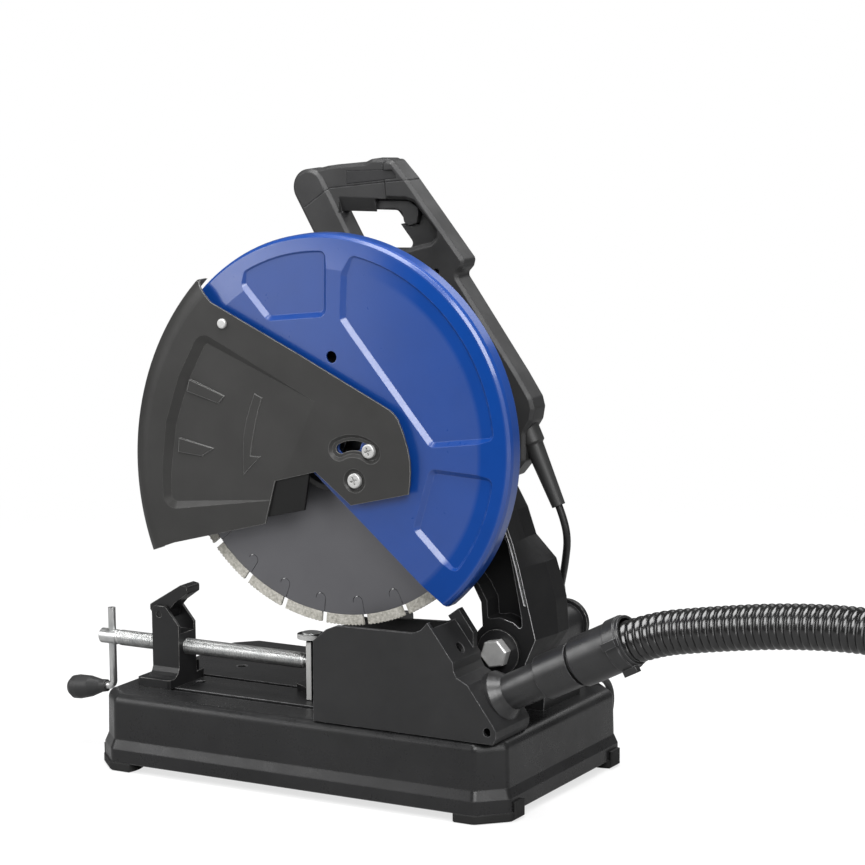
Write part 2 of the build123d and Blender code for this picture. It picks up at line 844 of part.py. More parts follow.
inner_plate = moved(
    [(-100, 8), (-48, 14), (-49.6, 0), (-54.8, -32.1), (-97, -42.4), (-112, -40)],
    swing_x,
    swing_z,
)
finger_upper = moved([(-178, 81), (-140, 68), (-147, 61), (-181, 70)], swing_x, swing_z)
finger_lower = moved([(-191, 25), (-153, 18), (-166, 10), (-192, 12)], swing_x, swing_z)
with BuildPart() as swing_guard:
    with BuildSketch(around(swing_x, swing_z)):
        with BuildLine():
            Polyline((0, swing_front + swing_sheet), (0, swing_front), (swing_r - swing_bend, swing_front))
            RadiusArc(
                (swing_r - swing_bend, swing_front),
                (swing_r, swing_front + swing_bend),
                -swing_bend,
            )
            Polyline(
                (swing_r, swing_front + swing_bend),
                (swing_r, swing_back),
                (swing_r - swing_sheet, swing_back),
                (swing_r - swing_sheet, swing_front + swing_bend),
            )
            RadiusArc(
                (swing_r - swing_sheet, swing_front + swing_bend),
                (swing_r - swing_bend, swing_front + swing_sheet),
                swing_bend - swing_sheet,
            )
            Line((swing_r - swing_bend, swing_front + swing_sheet), (0, swing_front + swing_sheet))
        make_face()
    revolve(axis=axis_y(swing_x, swing_z))
    add(ramp_backing.part)
    with BuildSketch(side(swing_back + 1)):
        with BuildLine():
            Polyline(*swing_outline, close=True)
        make_face()
    extrude(amount=swing_back + 2 - swing_front, mode=Mode.INTERSECT)
    add(ramp_pocket.part, mode=Mode.SUBTRACT)
    with BuildSketch(side(swing_front + ramp_depth + 1)):
        with BuildLine():
            Polyline(*finger_upper, close=True)
        make_face()
        with BuildLine():
            Polyline(*finger_lower, close=True)
        make_face()
    extrude(amount=ramp_depth - 1)
    with BuildSketch(side(swing_front + swing_sheet + recess)):
        with BuildLine():
            bean = CenterArc((swing_x, swing_z), swing_slot_r, bean_start - 4, bean_end - bean_start + 8)
        SlotArc(bean, 2 * (seat_r + recess_slope + swing_sheet))
        with Locations((swing_x, swing_z)):
            Circle(seat_r + 0.7 + recess_slope + swing_sheet)
    extrude(amount=recess + swing_sheet / 2)
    with BuildSketch(side(swing_front + recess)):
        SlotArc(bean, 2 * seat_r)
        with Locations((swing_x, swing_z)):
            Circle(seat_r + 0.7)
    extrude(amount=recess + 0.5, taper=-degrees(atan2(recess_slope, recess)), mode=Mode.SUBTRACT)
    with BuildSketch(side(swing_front + 2.5 * swing_sheet)):
        with BuildLine():
            Polyline(*inner_plate, close=True)
        make_face()
    extrude(amount=1.5 * swing_sheet)
    with BuildSketch(side(swing_front + swing_sheet + recess + 1)):
        with BuildLine():
            track = CenterArc((swing_x, swing_z), swing_slot_r, bean_start - 2, bean_end - bean_start + 4)
        SlotArc(track, 2 * swing_bolt_r + 1.2)
        with Locations((swing_x, swing_z)):
            Circle(swing_bolt_r + run_gap)
        with Locations((swing_x - 138.6, swing_z + 135.9)):
            Circle(3)
    extrude(amount=12, mode=Mode.SUBTRACT)
swing_guard.part.label = "swing_guard"
export_step(swing_guard.part, "parts/swing_guard.step")

plate_out = swing_front + recess


def guard_bolt(x, z, head_r):
    with BuildPart() as screw:
        with BuildSketch(side(guard_front + guard_sheet + 5)):
            with Locations((x, z)):
                Circle(swing_bolt_r)
        extrude(amount=guard_front + guard_sheet + 5 - plate_out + face_gap)
        with BuildSketch(side(plate_out - face_gap)):
            with Locations((x, z)):
                Circle(head_r)
        extrude(amount=4)
        fillet(faces().sort_by(Axis.Y)[0].edges(), 1.4)
        with BuildSketch(side(plate_out - face_gap - 2)):
            with Locations((x, z)):
                Rectangle(7.4, 1.7, rotation=20)
                Rectangle(1.7, 7.4, rotation=20)
        extrude(amount=3, mode=Mode.SUBTRACT)
        with BuildSketch(side(guard_front + guard_sheet + 5)):
            with Locations((x, z)):
                RegularPolygon(7.2, 6)
        extrude(amount=5 - seat_gap)
    return screw


swing_pivot_bolt = guard_bolt(swing_x, swing_z, 6.8)
swing_pivot_bolt.part.label = "swing_pivot_bolt"
export_step(swing_pivot_bolt.part, "parts/swing_pivot_bolt.step")
swing_stop_bolt = guard_bolt(stop_x, stop_z, 6.5)
swing_stop_bolt.part.label = "swing_stop_bolt"
export_step(swing_stop_bolt.part, "parts/swing_stop_bolt.step")

with BuildPart() as swing_lock_screw:
    with BuildSketch(side(swing_front + swing_sheet + 1)):
        with Locations((swing_x - 138.6, swing_z + 135.9)):
            Circle(3 - seat_gap)
    extrude(amount=swing_sheet + 1)
    with BuildSketch(side(swing_front)):
        with Locations((swing_x - 138.6, swing_z + 135.9)):
            Circle(4.6)
    extrude(amount=3)
    fillet(faces().sort_by(Axis.Y)[0].edges(), 1.2)
swing_lock_screw.part.label = "swing_lock_screw"
export_step(swing_lock_screw.part, "parts/swing_lock_screw.step")

# Handle: round-topped leg, grip with the right column, lower body; cap above the seam
handle_near = -3
grip_near = 0
handle_far = 24
handle_mid = (handle_near + handle_far) / 2
handle_edge = 3
handle_corner = 5
seam_gap = 0.2
leg_r = 17.5
leg_top = (blade_x - 77.9, blade_z + 219.8)
leg_low = (blade_x - 37.4, blade_z + 149.5)
grip_outline = moved(
    [
        (-77, 236),
        (-58.5, 240.6),
        (-18.5, 245),
        (-11, 248.4),
        (6, 248.8),
        (14.5, 245.2),
        (28, 231.6),
        (87.8, 158.5),
        (80, 146),
        (49.5, 146),
        (5.5, 199.5),
        (-62, 198.6),
        (-80, 222),
    ],
    blade_x,
    blade_z,
)
lower_outline = moved(
    [
        (-45, 163),
        (22, 165.5),
        (30.8, 168.5),
        (5.5, 199.5),
        (1, 247.8),
        (12.5, 247.8),
        (28, 231.6),
        (87.8, 158.5),
        (86, 151.5),
        (79.5, 144.5),
        (142.3, 57.2),
        (157, 35),
        (159.5, 25.6),
        (157.5, 14),
        (150.5, 3),
        (150, -24),
        (137, -40),
        (112, -40),
        (86, 62),
        (-40, 62),
        (-52, 125),
    ],
    blade_x,
    blade_z,
)
seam = moved([(-120, 173.8), (-55.5, 220), (24, 229.8), (90, 229.9)], blade_x, blade_z)
above_seam = moved([(90, 300), (-120, 300)], blade_x, blade_z)
trigger_near = 6
trigger_far = 21
trigger_mid = (trigger_near + trigger_far) / 2
trigger_pivot = (blade_x - 16, blade_z + 204)
trigger_pin_r = 2
trigger_pin_out = 1.4
trigger_well = moved(
    [(-23, 190), (-23, 218.5), (24, 218.5), (37.5, 209), (37.5, 198), (34.5, 188.5), (25, 186.3), (20, 188)],
    blade_x,
    blade_z,
)
trigger_notch = moved(
    [(10, 197), (10, 206), (37.5, 206), (37.5, 198), (34.5, 188.5), (25, 186.3), (20, 188)],
    blade_x,
    blade_z,
)
finger_pocket = moved(
    [
        (-8, 190),
        (-8, 211.5),
        (27, 211.9),
        (35, 209.8),
        (57.5, 184),
        (57.5, 178),
        (52.5, 173.4),
        (35.9, 168.9),
        (21.7, 165.2),
        (5, 165),
    ],
    blade_x,
    blade_z,
)
pocket_far = 10
pocket_lip = 3
well_top = blade_z + 218.5
switch_x0 = blade_x - 14
switch_x1 = blade_x + 12
switch_top = blade_z + 236
side_screw = Plane(origin=(111.3, 15, 497.7), z_dir=(0.781, 0, 0.624))
face_screw = (89.4, 479.2)
screw_recess_r = 3
with BuildPart() as handle_form:
    with BuildSketch(side(handle_far)):
        with Locations(leg_top, leg_low):
            Circle(leg_r)
        make_hull()
    extrude(amount=handle_far - handle_near)
    chamfer(faces().sort_by(Axis.Y)[0].edges(), handle_edge)
    chamfer(faces().sort_by(Axis.Y)[-1].edges(), handle_edge)

with BuildPart() as grip_form:
    with BuildSketch(side(handle_far)):
        with BuildLine():
            FilletPolyline(*grip_outline, radius=handle_corner, close=True)
        make_face()
    extrude(amount=handle_far - grip_near)
    chamfer(faces().sort_by(Axis.Y)[0].edges(), handle_edge)
    chamfer(faces().sort_by(Axis.Y)[-1].edges(), handle_edge)

with BuildPart() as lower_form:
    with BuildSketch(side(handle_far)):
        with BuildLine():
            FilletPolyline(*lower_outline, radius=handle_corner, close=True)
        make_face()
    extrude(amount=handle_far - handle_near)
    chamfer(faces().sort_by(Axis.Y)[0].edges(), handle_edge)
    chamfer(faces().sort_by(Axis.Y)[-1].edges(), handle_edge)

with BuildPart() as handle_body:
    add(handle_form.part)
    add(grip_form.part)
    add(lower_form.part)
    with BuildSketch(side(handle_far + 1)):
        with BuildLine():
            Polyline(*seam, *above_seam, close=True)
        make_face()
    extrude(amount=handle_far - handle_near + 2, mode=Mode.SUBTRACT)
    with BuildSketch(side(handle_far)):
        with Locations((motor_x, motor_z)):
            Circle(motor_r + seat_gap)
    extrude(amount=handle_far - handle_near, mode=Mode.SUBTRACT)
    with BuildSketch(side(arm_far + seat_gap)):
        with BuildLine():
            Polyline(*arm_outline, close=True)
        make_face()
    extrude(amount=10, mode=Mode.SUBTRACT)
    with BuildSketch(side(trigger_far + slide_gap)):
        with BuildLine():
            Polyline(*trigger_well, close=True)
        make_face()
    extrude(amount=trigger_far - trigger_near + 2 * slide_gap, mode=Mode.SUBTRACT)
    with BuildSketch(side(trigger_far + slide_gap)):
        with BuildLine():
            Polyline(*trigger_notch, close=True)
        make_face()
    extrude(amount=trigger_far + slide_gap - handle_near + 1, mode=Mode.SUBTRACT)
    with BuildSketch(side(pocket_far)) as pocket_shape:
        with BuildLine():
            FilletPolyline(*finger_pocket, radius=2.5, close=True)
        make_face()
    extrude(amount=pocket_far - handle_near + 1, mode=Mode.SUBTRACT)
    with BuildSketch(side(handle_near + pocket_lip)):
        with BuildLine():
            FilletPolyline(*finger_pocket, radius=2.5, close=True)
        make_face()
    extrude(amount=pocket_lip + 1, taper=-48, mode=Mode.SUBTRACT)
    with BuildSketch(Plane.YZ.offset(blade_x - 46)):
        with BuildLine():
            Polyline(
                (grip_near - 6, blade_z + 212.5),
                (grip_near, blade_z + 212.5),
                (grip_near + 5.5, blade_z + 197),
                (grip_near - 6, blade_z + 197),
                close=True,
            )
        make_face()
    extrude(amount=42, mode=Mode.SUBTRACT)
    with BuildSketch(Plane.XY.offset(well_top - 1)):
        with Locations(((switch_x0 + switch_x1) / 2, trigger_mid)):
            Rectangle(switch_x1 - switch_x0, trigger_far - trigger_near)
    extrude(amount=30, mode=Mode.SUBTRACT)
    with BuildSketch(side(trigger_far + trigger_pin_out + 0.2)):
        with Locations(trigger_pivot):
            Circle(trigger_pin_r + run_gap)
    extrude(amount=trigger_far - trigger_near + 2 * trigger_pin_out + 0.4, mode=Mode.SUBTRACT)
    with BuildSketch(side_screw):
        Circle(screw_recess_r)
    extrude(amount=-7, mode=Mode.SUBTRACT)
    with BuildSketch(side(handle_near + 6)):
        with Locations(face_screw):
            Circle(screw_recess_r)
    extrude(amount=8, mode=Mode.SUBTRACT)
handle_body.part.label = "handle_body"
export_step(handle_body.part, "parts/handle_body.step")

inlay_shape = moved([(-37, 224.6), (17.5, 231.6), (17, 235.4), (13, 239.3), (-37, 236.4)], blade_x, blade_z)
inlay_thick = 1.2
with BuildPart() as handle_cap:
    add(handle_form.part)
    add(grip_form.part)
    add(lower_form.part)
    with BuildSketch(side(handle_far + 1)):
        with BuildLine():
            Polyline(*moved(seam, 0, seam_gap), *above_seam, close=True)
        make_face()
    extrude(amount=handle_far - handle_near + 2, mode=Mode.INTERSECT)
    with BuildSketch(Plane.XY.offset(switch_top)):
        with Locations(((switch_x0 + switch_x1) / 2, trigger_mid)):
            Rectangle(switch_x1 - switch_x0, trigger_far - trigger_near)
    extrude(amount=-40, mode=Mode.SUBTRACT)
    with BuildSketch(side(grip_near + inlay_thick)):
        with BuildLine():
            Polyline(*inlay_shape, close=True)
        make_face()
    extrude(amount=5, mode=Mode.SUBTRACT)
handle_cap.part.label = "handle_cap"
export_step(handle_cap.part, "parts/handle_cap.step")

with BuildPart() as grip_inlay:
    with BuildSketch(side(grip_near + inlay_thick)):
        with BuildLine():
            Polyline(*inlay_shape, close=True)
        make_face()
        offset(amount=-0.1)
    extrude(amount=inlay_thick + 0.5)
grip_inlay.part.label = "grip_inlay"
export_step(grip_inlay.part, "parts/grip_inlay.step")

with BuildPart() as switch_block:
    with BuildSketch(Plane.XY.offset(well_top + 0.6)):
        with Locations(((switch_x0 + switch_x1) / 2, trigger_mid)):
            Rectangle(switch_x1 - switch_x0 - 0.2, trigger_far - trigger_near - 0.2)
    extrude(amount=switch_top - well_top - 0.8)
switch_block.part.label = "switch_block"
export_step(switch_block.part, "parts/switch_block.step")

trigger_shape = moved(
    [
        (-20, 209.5),
        (25, 210.5),
        (35.4, 204.5),
        (35.4, 198),
        (33.2, 189.8),
        (25.4, 187.4),
        (20.6, 190.5),
        (18.5, 200),
        (11, 202.8),
        (-12, 200.8),
        (-20, 199.8),
    ],
    blade_x,
    blade_z,
)
with BuildPart() as trigger:
    with BuildSketch(side(trigger_far)):
        with BuildLine():
            FilletPolyline(*trigger_shape, radius=1.5, close=True)
        make_face()
    extrude(amount=trigger_far - trigger_near)
    with BuildSketch(side(trigger_far + trigger_pin_out)):
        with Locations(trigger_pivot):
            Circle(trigger_pin_r)
    extrude(amount=trigger_far - trigger_near + 2 * trigger_pin_out)
trigger.part.label = "trigger"
export_step(trigger.part, "parts/trigger.step")

# Cord sleeve at the foot of the column
boot_top = (blade_x + 150, handle_mid, blade_z - 2.5)
boot_tip = (209.5, handle_mid, 266)
boot_run = sqrt((boot_tip[0] - boot_top[0]) ** 2 + (boot_tip[2] - boot_top[2]) ** 2)
boot_dir = ((boot_tip[0] - boot_top[0]) / boot_run, 0, (boot_tip[2] - boot_top[2]) / boot_run)
boot_plane = Plane(origin=boot_top, x_dir=boot_dir, z_dir=(0, 1, 0))


def boot_at(run):
    """Point on the sleeve's axis, so far past its tip."""
    return (boot_tip[0] + run * boot_dir[0], boot_tip[1], boot_tip[2] + run * boot_dir[2])


with BuildPart() as cord_boot:
    with BuildSketch(boot_plane):
        with BuildLine():
            Polyline(
                (-14, cord_r + seat_gap),
                (-14, 11),
                (6, 11),
                (8, 8.8),
                (boot_run - 2, 6.4),
                (boot_run - 2, cord_r + seat_gap),
                close=True,
            )
        make_face()
    revolve(axis=Axis(boot_top, boot_dir))
    with BuildSketch(side(handle_far)):
        with BuildLine():
            FilletPolyline(*lower_outline, radius=handle_corner, close=True)
        make_face()
        offset(amount=0.05)
    extrude(amount=handle_far - handle_near, mode=Mode.SUBTRACT)
cord_boot.part.label = "cord_boot"
export_step(cord_boot.part, "parts/cord_boot.step")

# Vise bracket with nut block, lever and pin
bracket_x0 = -187.5
bracket_x1 = -157
cheek = 3
cheek_near = -75.5
cheek_far = -45.5
bracket_top = 151
foot_plate = 8.5
foot_top = base_top + foot_plate
nut_top = screw_z + 14
lever_pin = (-179.4, 142.6)
with BuildPart() as vise_bracket:
    with BuildSketch(side(cheek_far)):
        with BuildLine():
            Polyline(
                (bracket_x0, base_top),
                (bracket_x1, base_top),
                (bracket_x1, bracket_top - 18),
                (bracket_x1 - 15, bracket_top),
                (bracket_x0 + 3, bracket_top),
                (bracket_x0, bracket_top - 3),
                close=True,
            )
        make_face()
    extrude(amount=cheek_far - cheek_near)
    with BuildSketch(side(cheek_far - cheek)):
        with Locations(((bracket_x0 + bracket_x1) / 2, (nut_top + bracket_top) / 2 + 5)):
            Rectangle(bracket_x1 - bracket_x0 + 4, bracket_top - nut_top + 10)
    extrude(amount=cheek_far - cheek_near - 2 * cheek, mode=Mode.SUBTRACT)
    with BuildSketch(Plane.XY.offset(base_top)):
        with Locations(((bracket_x0 + bracket_x1) / 2 - 4, -61)):
            Rectangle(bracket_x1 - bracket_x0 + 8, 62)
        fillet(vertices(), 4)
    extrude(amount=foot_plate)
    with BuildSketch(Plane.YZ.offset(bracket_x0)):
        with BuildLine():
            Polyline(
                (cheek_near, foot_top),
                (cheek_near - 9, foot_top),
                (cheek_near - 4.5, foot_top + 2),
                (cheek_near - 2, foot_top + 4.5),
                (cheek_near, foot_top + 9),
                close=True,
            )
        make_face()
    extrude(amount=bracket_x1 - bracket_x0)
    with BuildSketch(Plane.YZ.offset(bracket_x0 - 6)):
        with Locations((screw_y, screw_z)):
            Circle(screw_r + run_gap)
    extrude(amount=bracket_x1 - bracket_x0 + 12, mode=Mode.SUBTRACT)
    with BuildSketch(side(cheek_far + 1)):
        with Locations(lever_pin):
            Circle(lever_pin_r + seat_gap)
    extrude(amount=cheek_far - cheek_near + 2, mode=Mode.SUBTRACT)
vise_bracket.part.label = "vise_bracket"
export_step(vise_bracket.part, "parts/vise_bracket.step")

with BuildPart() as bracket_bolts:
    with BuildSketch(Plane.XY.offset(foot_top)):
        with Locations((-182, -38), (-166, -38)):
            RegularPolygon(6.8, 6)
    extrude(amount=10)
bracket_bolts.part.label = "bracket_bolts"
export_step(bracket_bolts.part, "parts/bracket_bolts.step")

with BuildPart() as vise_lever:
    with BuildSketch(side(cheek_far - cheek - 1)):
        with BuildLine():
            Polyline(
                (-192, 146),
                (-192, 151),
                (-156, 173),
                (-149, 171.8),
                (-149, 165),
                (-163, 155),
                (-171, 146),
                (-173, 137),
                (-185, 137),
                close=True,
            )
        make_face()
        fillet(vertices(), 2)
        with Locations(lever_pin):
            Circle(lever_pin_r + run_gap, mode=Mode.SUBTRACT)
    extrude(amount=cheek_far - cheek_near - 2 * cheek - 2)
vise_lever.part.label = "vise_lever"
export_step(vise_lever.part, "parts/vise_lever.step")

with BuildPart() as vise_lever_pin:
    with BuildSketch(side(cheek_far + 1)):
        with Locations(lever_pin):
            Circle(lever_pin_r)
    extrude(amount=cheek_far - cheek_near)
    with BuildSketch(side(cheek_far + seat_gap + 2)):
        with Locations(lever_pin):
            Circle(lever_pin_r + 2)
    extrude(amount=2)
vise_lever_pin.part.label = "vise_lever_pin"
export_step(vise_lever_pin.part, "parts/vise_lever_pin.step")

# Vise screw, crank rod and knob
head_x0 = -257.4
head_x1 = -237.5
jaw_x1 = fence_x - jaw_gap
jaw_x0 = jaw_x1 - jaw_thick
crank_x = -245
crank_r = 3.75
crank_top = 140
neck_start = jaw_x0 - 3
neck_end = jaw_x1 - 1.8
with BuildPart() as vise_screw:
    with BuildSketch(Plane.YZ.offset(head_x0)):
        with Locations((screw_y, screw_z)):
            Circle(screw_head_r)
    extrude(amount=head_x1 - head_x0)
    chamfer(edges(), 1)
    with BuildSketch(Plane.YZ.offset(head_x1)):
        with Locations((screw_y, screw_z)):
            Circle(screw_r)
    extrude(amount=neck_start - head_x1)
    with BuildSketch(Plane.YZ.offset(neck_start)):
        with Locations((screw_y, screw_z)):
            Circle(neck_r)
    extrude(amount=neck_end - neck_start)
    with BuildSketch(Plane.XY.offset(screw_z - 20)):
        with Locations((crank_x, screw_y)):
            Circle(crank_r + seat_gap)
    extrude(amount=40, mode=Mode.SUBTRACT)
vise_screw.part.label = "vise_screw"
export_step(vise_screw.part, "parts/vise_screw.step")

knob_end = -298
knob_drop = 0.15
knob_start = crank_x - 8
knob_nose = 6.5
rod_in_knob = (knob_start - knob_end - knob_nose) / cos(knob_drop)
knob_z = 60.5
knob_dir = (-cos(knob_drop), 0, -sin(knob_drop))
with BuildPart() as crank_rod:
    with BuildLine() as rod_path:
        FilletPolyline(
            (crank_x, screw_y, crank_top),
            (crank_x, screw_y, knob_z + (crank_x - knob_start) * tan(knob_drop)),
            (knob_start + rod_in_knob * knob_dir[0], screw_y, knob_z + rod_in_knob * knob_dir[2]),
            radius=6,
        )
    with BuildSketch(Plane(origin=rod_path.line @ 0, z_dir=rod_path.line % 0)):
        Circle(crank_r)
    sweep()
crank_rod.part.label = "crank_rod"
export_step(crank_rod.part, "parts/crank_rod.step")

rod_end = rod_path.line @ 1
knob_plane = Plane(origin=rod_end, x_dir=tuple(-v for v in knob_dir), z_dir=(0, 1, 0))
with BuildPart() as crank_knob:
    with BuildSketch(knob_plane):
        with BuildLine():
            Polyline(
                (0, crank_r + run_gap),
                (rod_in_knob, crank_r + run_gap),
                (rod_in_knob, 6),
                (rod_in_knob - 6, 6.4),
                (20, 10.4),
                (7, 12),
                (0, 11.4),
                (2 - knob_nose, 8),
                (-knob_nose, 4),
                (-knob_nose, 0),
                (-0.5, 0),
                (-0.5, crank_r + run_gap),
                close=True,
            )
        make_face()
    revolve(axis=Axis(rod_end, knob_dir))
crank_knob.part.label = "crank_knob"
export_step(crank_knob.part, "parts/crank_knob.step")

# Vise jaw with its guide tongue and pin
jaw_near = -66
jaw_far = 48
jaw_low = base_top + 0.6
jaw_top = jaw_low + jaw_height
ear_x = jaw_x1 - 4.2
ear_y = screw_y + 3
ear_thick = 4
with BuildPart() as vise_jaw:
    with BuildSketch(Plane.YZ.offset(jaw_x0)):
        with Locations(((jaw_near + jaw_far) / 2, jaw_low + jaw_height / 2)):
            Rectangle(jaw_far - jaw_near, jaw_height)
        fillet(vertices().group_by(Axis.Y)[-1], 5)
    extrude(amount=jaw_thick)
    with BuildSketch(Plane.XY.offset(jaw_top)):
        with Locations((ear_x, ear_y)):
            Circle(13.5)
    extrude(amount=ear_thick)
    with BuildSketch(Plane.XY.offset(base_top + face_gap)):
        with BuildLine():
            Polyline(
                (jaw_x0 + 1, screw_y + 8),
                (jaw_x0 - 12, screw_y + 14),
                (jaw_x0 - 30, guide_y - 8),
                (jaw_x0 - 30, guide_y + 12),
                (jaw_x0 + 1, guide_y + 24),
                close=True,
            )
        make_face()
    extrude(amount=6)
    with BuildSketch(Plane.XY.offset(base_top + face_gap)):
        with Locations((jaw_x0 - 14, guide_y)):
            SlotOverall(28, guide_width - 2 * slide_gap)
    extrude(amount=-face_gap - base_sheet - 4)
    with BuildSketch(Plane.YZ.offset(neck_end + slide_gap)):
        with Locations((screw_y, screw_z)):
            Circle(neck_r + run_gap)
    extrude(amount=-jaw_thick, mode=Mode.SUBTRACT)
    with BuildSketch(Plane.XY.offset(jaw_top + 0.5)):
        with Locations((ear_x, ear_y)):
            Circle(4 + seat_gap)
    extrude(amount=ear_thick, mode=Mode.SUBTRACT)
vise_jaw.part.label = "vise_jaw"
export_step(vise_jaw.part, "parts/vise_jaw.step")

with BuildPart() as jaw_pin:
    with BuildSketch(Plane.XY.offset(jaw_top + 0.7)):
        with Locations((ear_x, ear_y)):
            Circle(4)
    extrude(amount=ear_thick - 0.7 + seat_gap)
    with BuildSketch(Plane.XY.offset(jaw_top + ear_thick + seat_gap)):
        with Locations((ear_x, ear_y)):
            Circle(9)
    extrude(amount=1.6)
    fillet(faces().sort_by(Axis.Z)[-1].edges(), 0.6)
jaw_pin.part.label = "jaw_pin"
export_step(jaw_pin.part, "parts/jaw_pin.step")

# Fence with its bolts
fence_near = -78
fence_far = 96
fence_height = jaw_top - 1 - base_top
with BuildPart() as fence:
    with BuildSketch(Plane.YZ.offset(fence_x)):
        with Locations(((fence_near + fence_far) / 2, base_top + fence_height / 2)):
            Rectangle(fence_far - fence_near, fence_height)
        fillet(vertices().group_by(Axis.Y)[-1], 6)
    extrude(amount=fence_thick)
    with BuildSketch(Plane.XY.offset(base_top)):
        with Locations((fence_x + fence_thick + 19, 30)):
            Rectangle(40, 110)
    extrude(amount=6)
    with Locations((fence_x + fence_thick, -10, 0), (fence_x + fence_thick, 70, 0)):
        with BuildSketch(side(0)):
            with BuildLine():
                Polyline((0, base_top + 6), (34, base_top + 6), (0, base_top + 52), close=True)
            make_face()
        extrude(amount=6)
fence.part.label = "fence"
export_step(fence.part, "parts/fence.step")

with BuildPart() as fence_bolts:
    with BuildSketch(Plane.XY.offset(base_top + 6)):
        with Locations((fence_x + 26, 10), (fence_x + 26, 50)):
            RegularPolygon(8.5, 6)
    extrude(amount=7)
fence_bolts.part.label = "fence_bolts"
export_step(fence_bolts.part, "parts/fence_bolts.step")

# Dust box round the blade's way down, with the outlet slope at its rear
slope_outer = [
    (151, 174),
    (172.8, 145),
    (173.5, 137.5),
    (177, 131.3),
    (187.6, 126),
    (213.5, 91),
    (216.2, 86),
    (216, 80),
    (212.8, base_top),
]
slope_inner = [
    (207.5, base_top),
    (211.3, 81),
    (210.3, 87.3),
    (184.5, 122),
    (173.5, 127.5),
    (169.5, 136),
    (168.8, 143.6),
    (147.6, 172),
]
near_wall = [
    (box_front, base_top),
    (box_front + 1, base_top + 76),
    (box_front + 15, base_top + 88),
    (box_front + 26, base_top + 92.5),
    (131.5, base_top + 94),
    (140, base_top + 97.5),
    (147, base_top + 105),
]
far_wall = [
    (box_front, base_top),
    (box_front, base_top + 74),
    (box_front + 14, base_top + 86),
    (box_front + 56, base_top + 90.2),
    (132.9, base_top + 92.8),
]
slope_hole = (166.5, -103, 153.3)
slope_n = (0.806, 0, 0.592)
slope_t = (0.592, 0, -0.806)
outlet = (200.4, pipe_y, 108.7)
pipe_dir = (cos(radians(pipe_angle)), 0, sin(radians(pipe_angle)))


def pipe_at(run):
    """Plane across the outlet pipe, the given way along it from the box."""
    spot = (outlet[0] + run * pipe_dir[0], pipe_y, outlet[2] + run * pipe_dir[2])
    return Plane(origin=spot, x_dir=(0, 1, 0), z_dir=pipe_dir)


block_near = -84
block_far = box_far - 12
block_proud = 9
block_top = (147, base_top + 105)
block_run = 38
block_shape = [
    (block_top[0] - 4 * slope_n[0], block_top[1] - 4 * slope_n[2]),
    (block_top[0] + block_proud * slope_n[0], block_top[1] + block_proud * slope_n[2]),
    (
        block_top[0] + block_proud * slope_n[0] + (block_run - 12) * slope_t[0],
        block_top[1] + block_proud * slope_n[2] + (block_run - 12) * slope_t[2],
    ),
    (block_top[0] + block_run * slope_t[0], block_top[1] + block_run * slope_t[2]),
    (
        block_top[0] - 4 * slope_n[0] + block_run * slope_t[0],
        block_top[1] - 4 * slope_n[2] + block_run * slope_t[2],
    ),
]
with BuildPart() as dust_box:
    with BuildSketch(side(box_near + box_wall)):
        with BuildLine():
            Polyline(*near_wall, *slope_outer[1:], close=True)
        make_face()
        with Locations((207.3, 85.2)):
            Circle(4, mode=Mode.SUBTRACT)
    extrude(amount=box_wall)
    with BuildSketch(side(box_far)):
        with BuildLine():
            Polyline(*far_wall, *slope_outer, close=True)
        make_face()
    extrude(amount=box_wall)
    with BuildSketch(side(box_far)):
        with BuildLine():
            Polyline(*slope_outer, *slope_inner, close=True)
        make_face()
    extrude(amount=box_far - box_near)
    with BuildSketch(side(block_far)):
        with BuildLine():
            Polyline(*block_shape, close=True)
        make_face()
    extrude(amount=block_far - block_near)
    with BuildSketch(Plane(origin=slope_hole, z_dir=slope_n)):
        Circle(5.2)
    extrude(amount=10, both=True, mode=Mode.SUBTRACT)
    with BuildSketch(side(box_far + 1)):
        with Locations((hinge_x, hinge_z)):
            Circle(25)
    extrude(amount=13, mode=Mode.SUBTRACT)
    with BuildSketch(pipe_at(-20)):
        Circle(pipe_bore)
    extrude(amount=40, mode=Mode.SUBTRACT)
dust_box.part.label = "dust_box"
export_step(dust_box.part, "parts/dust_box.step")

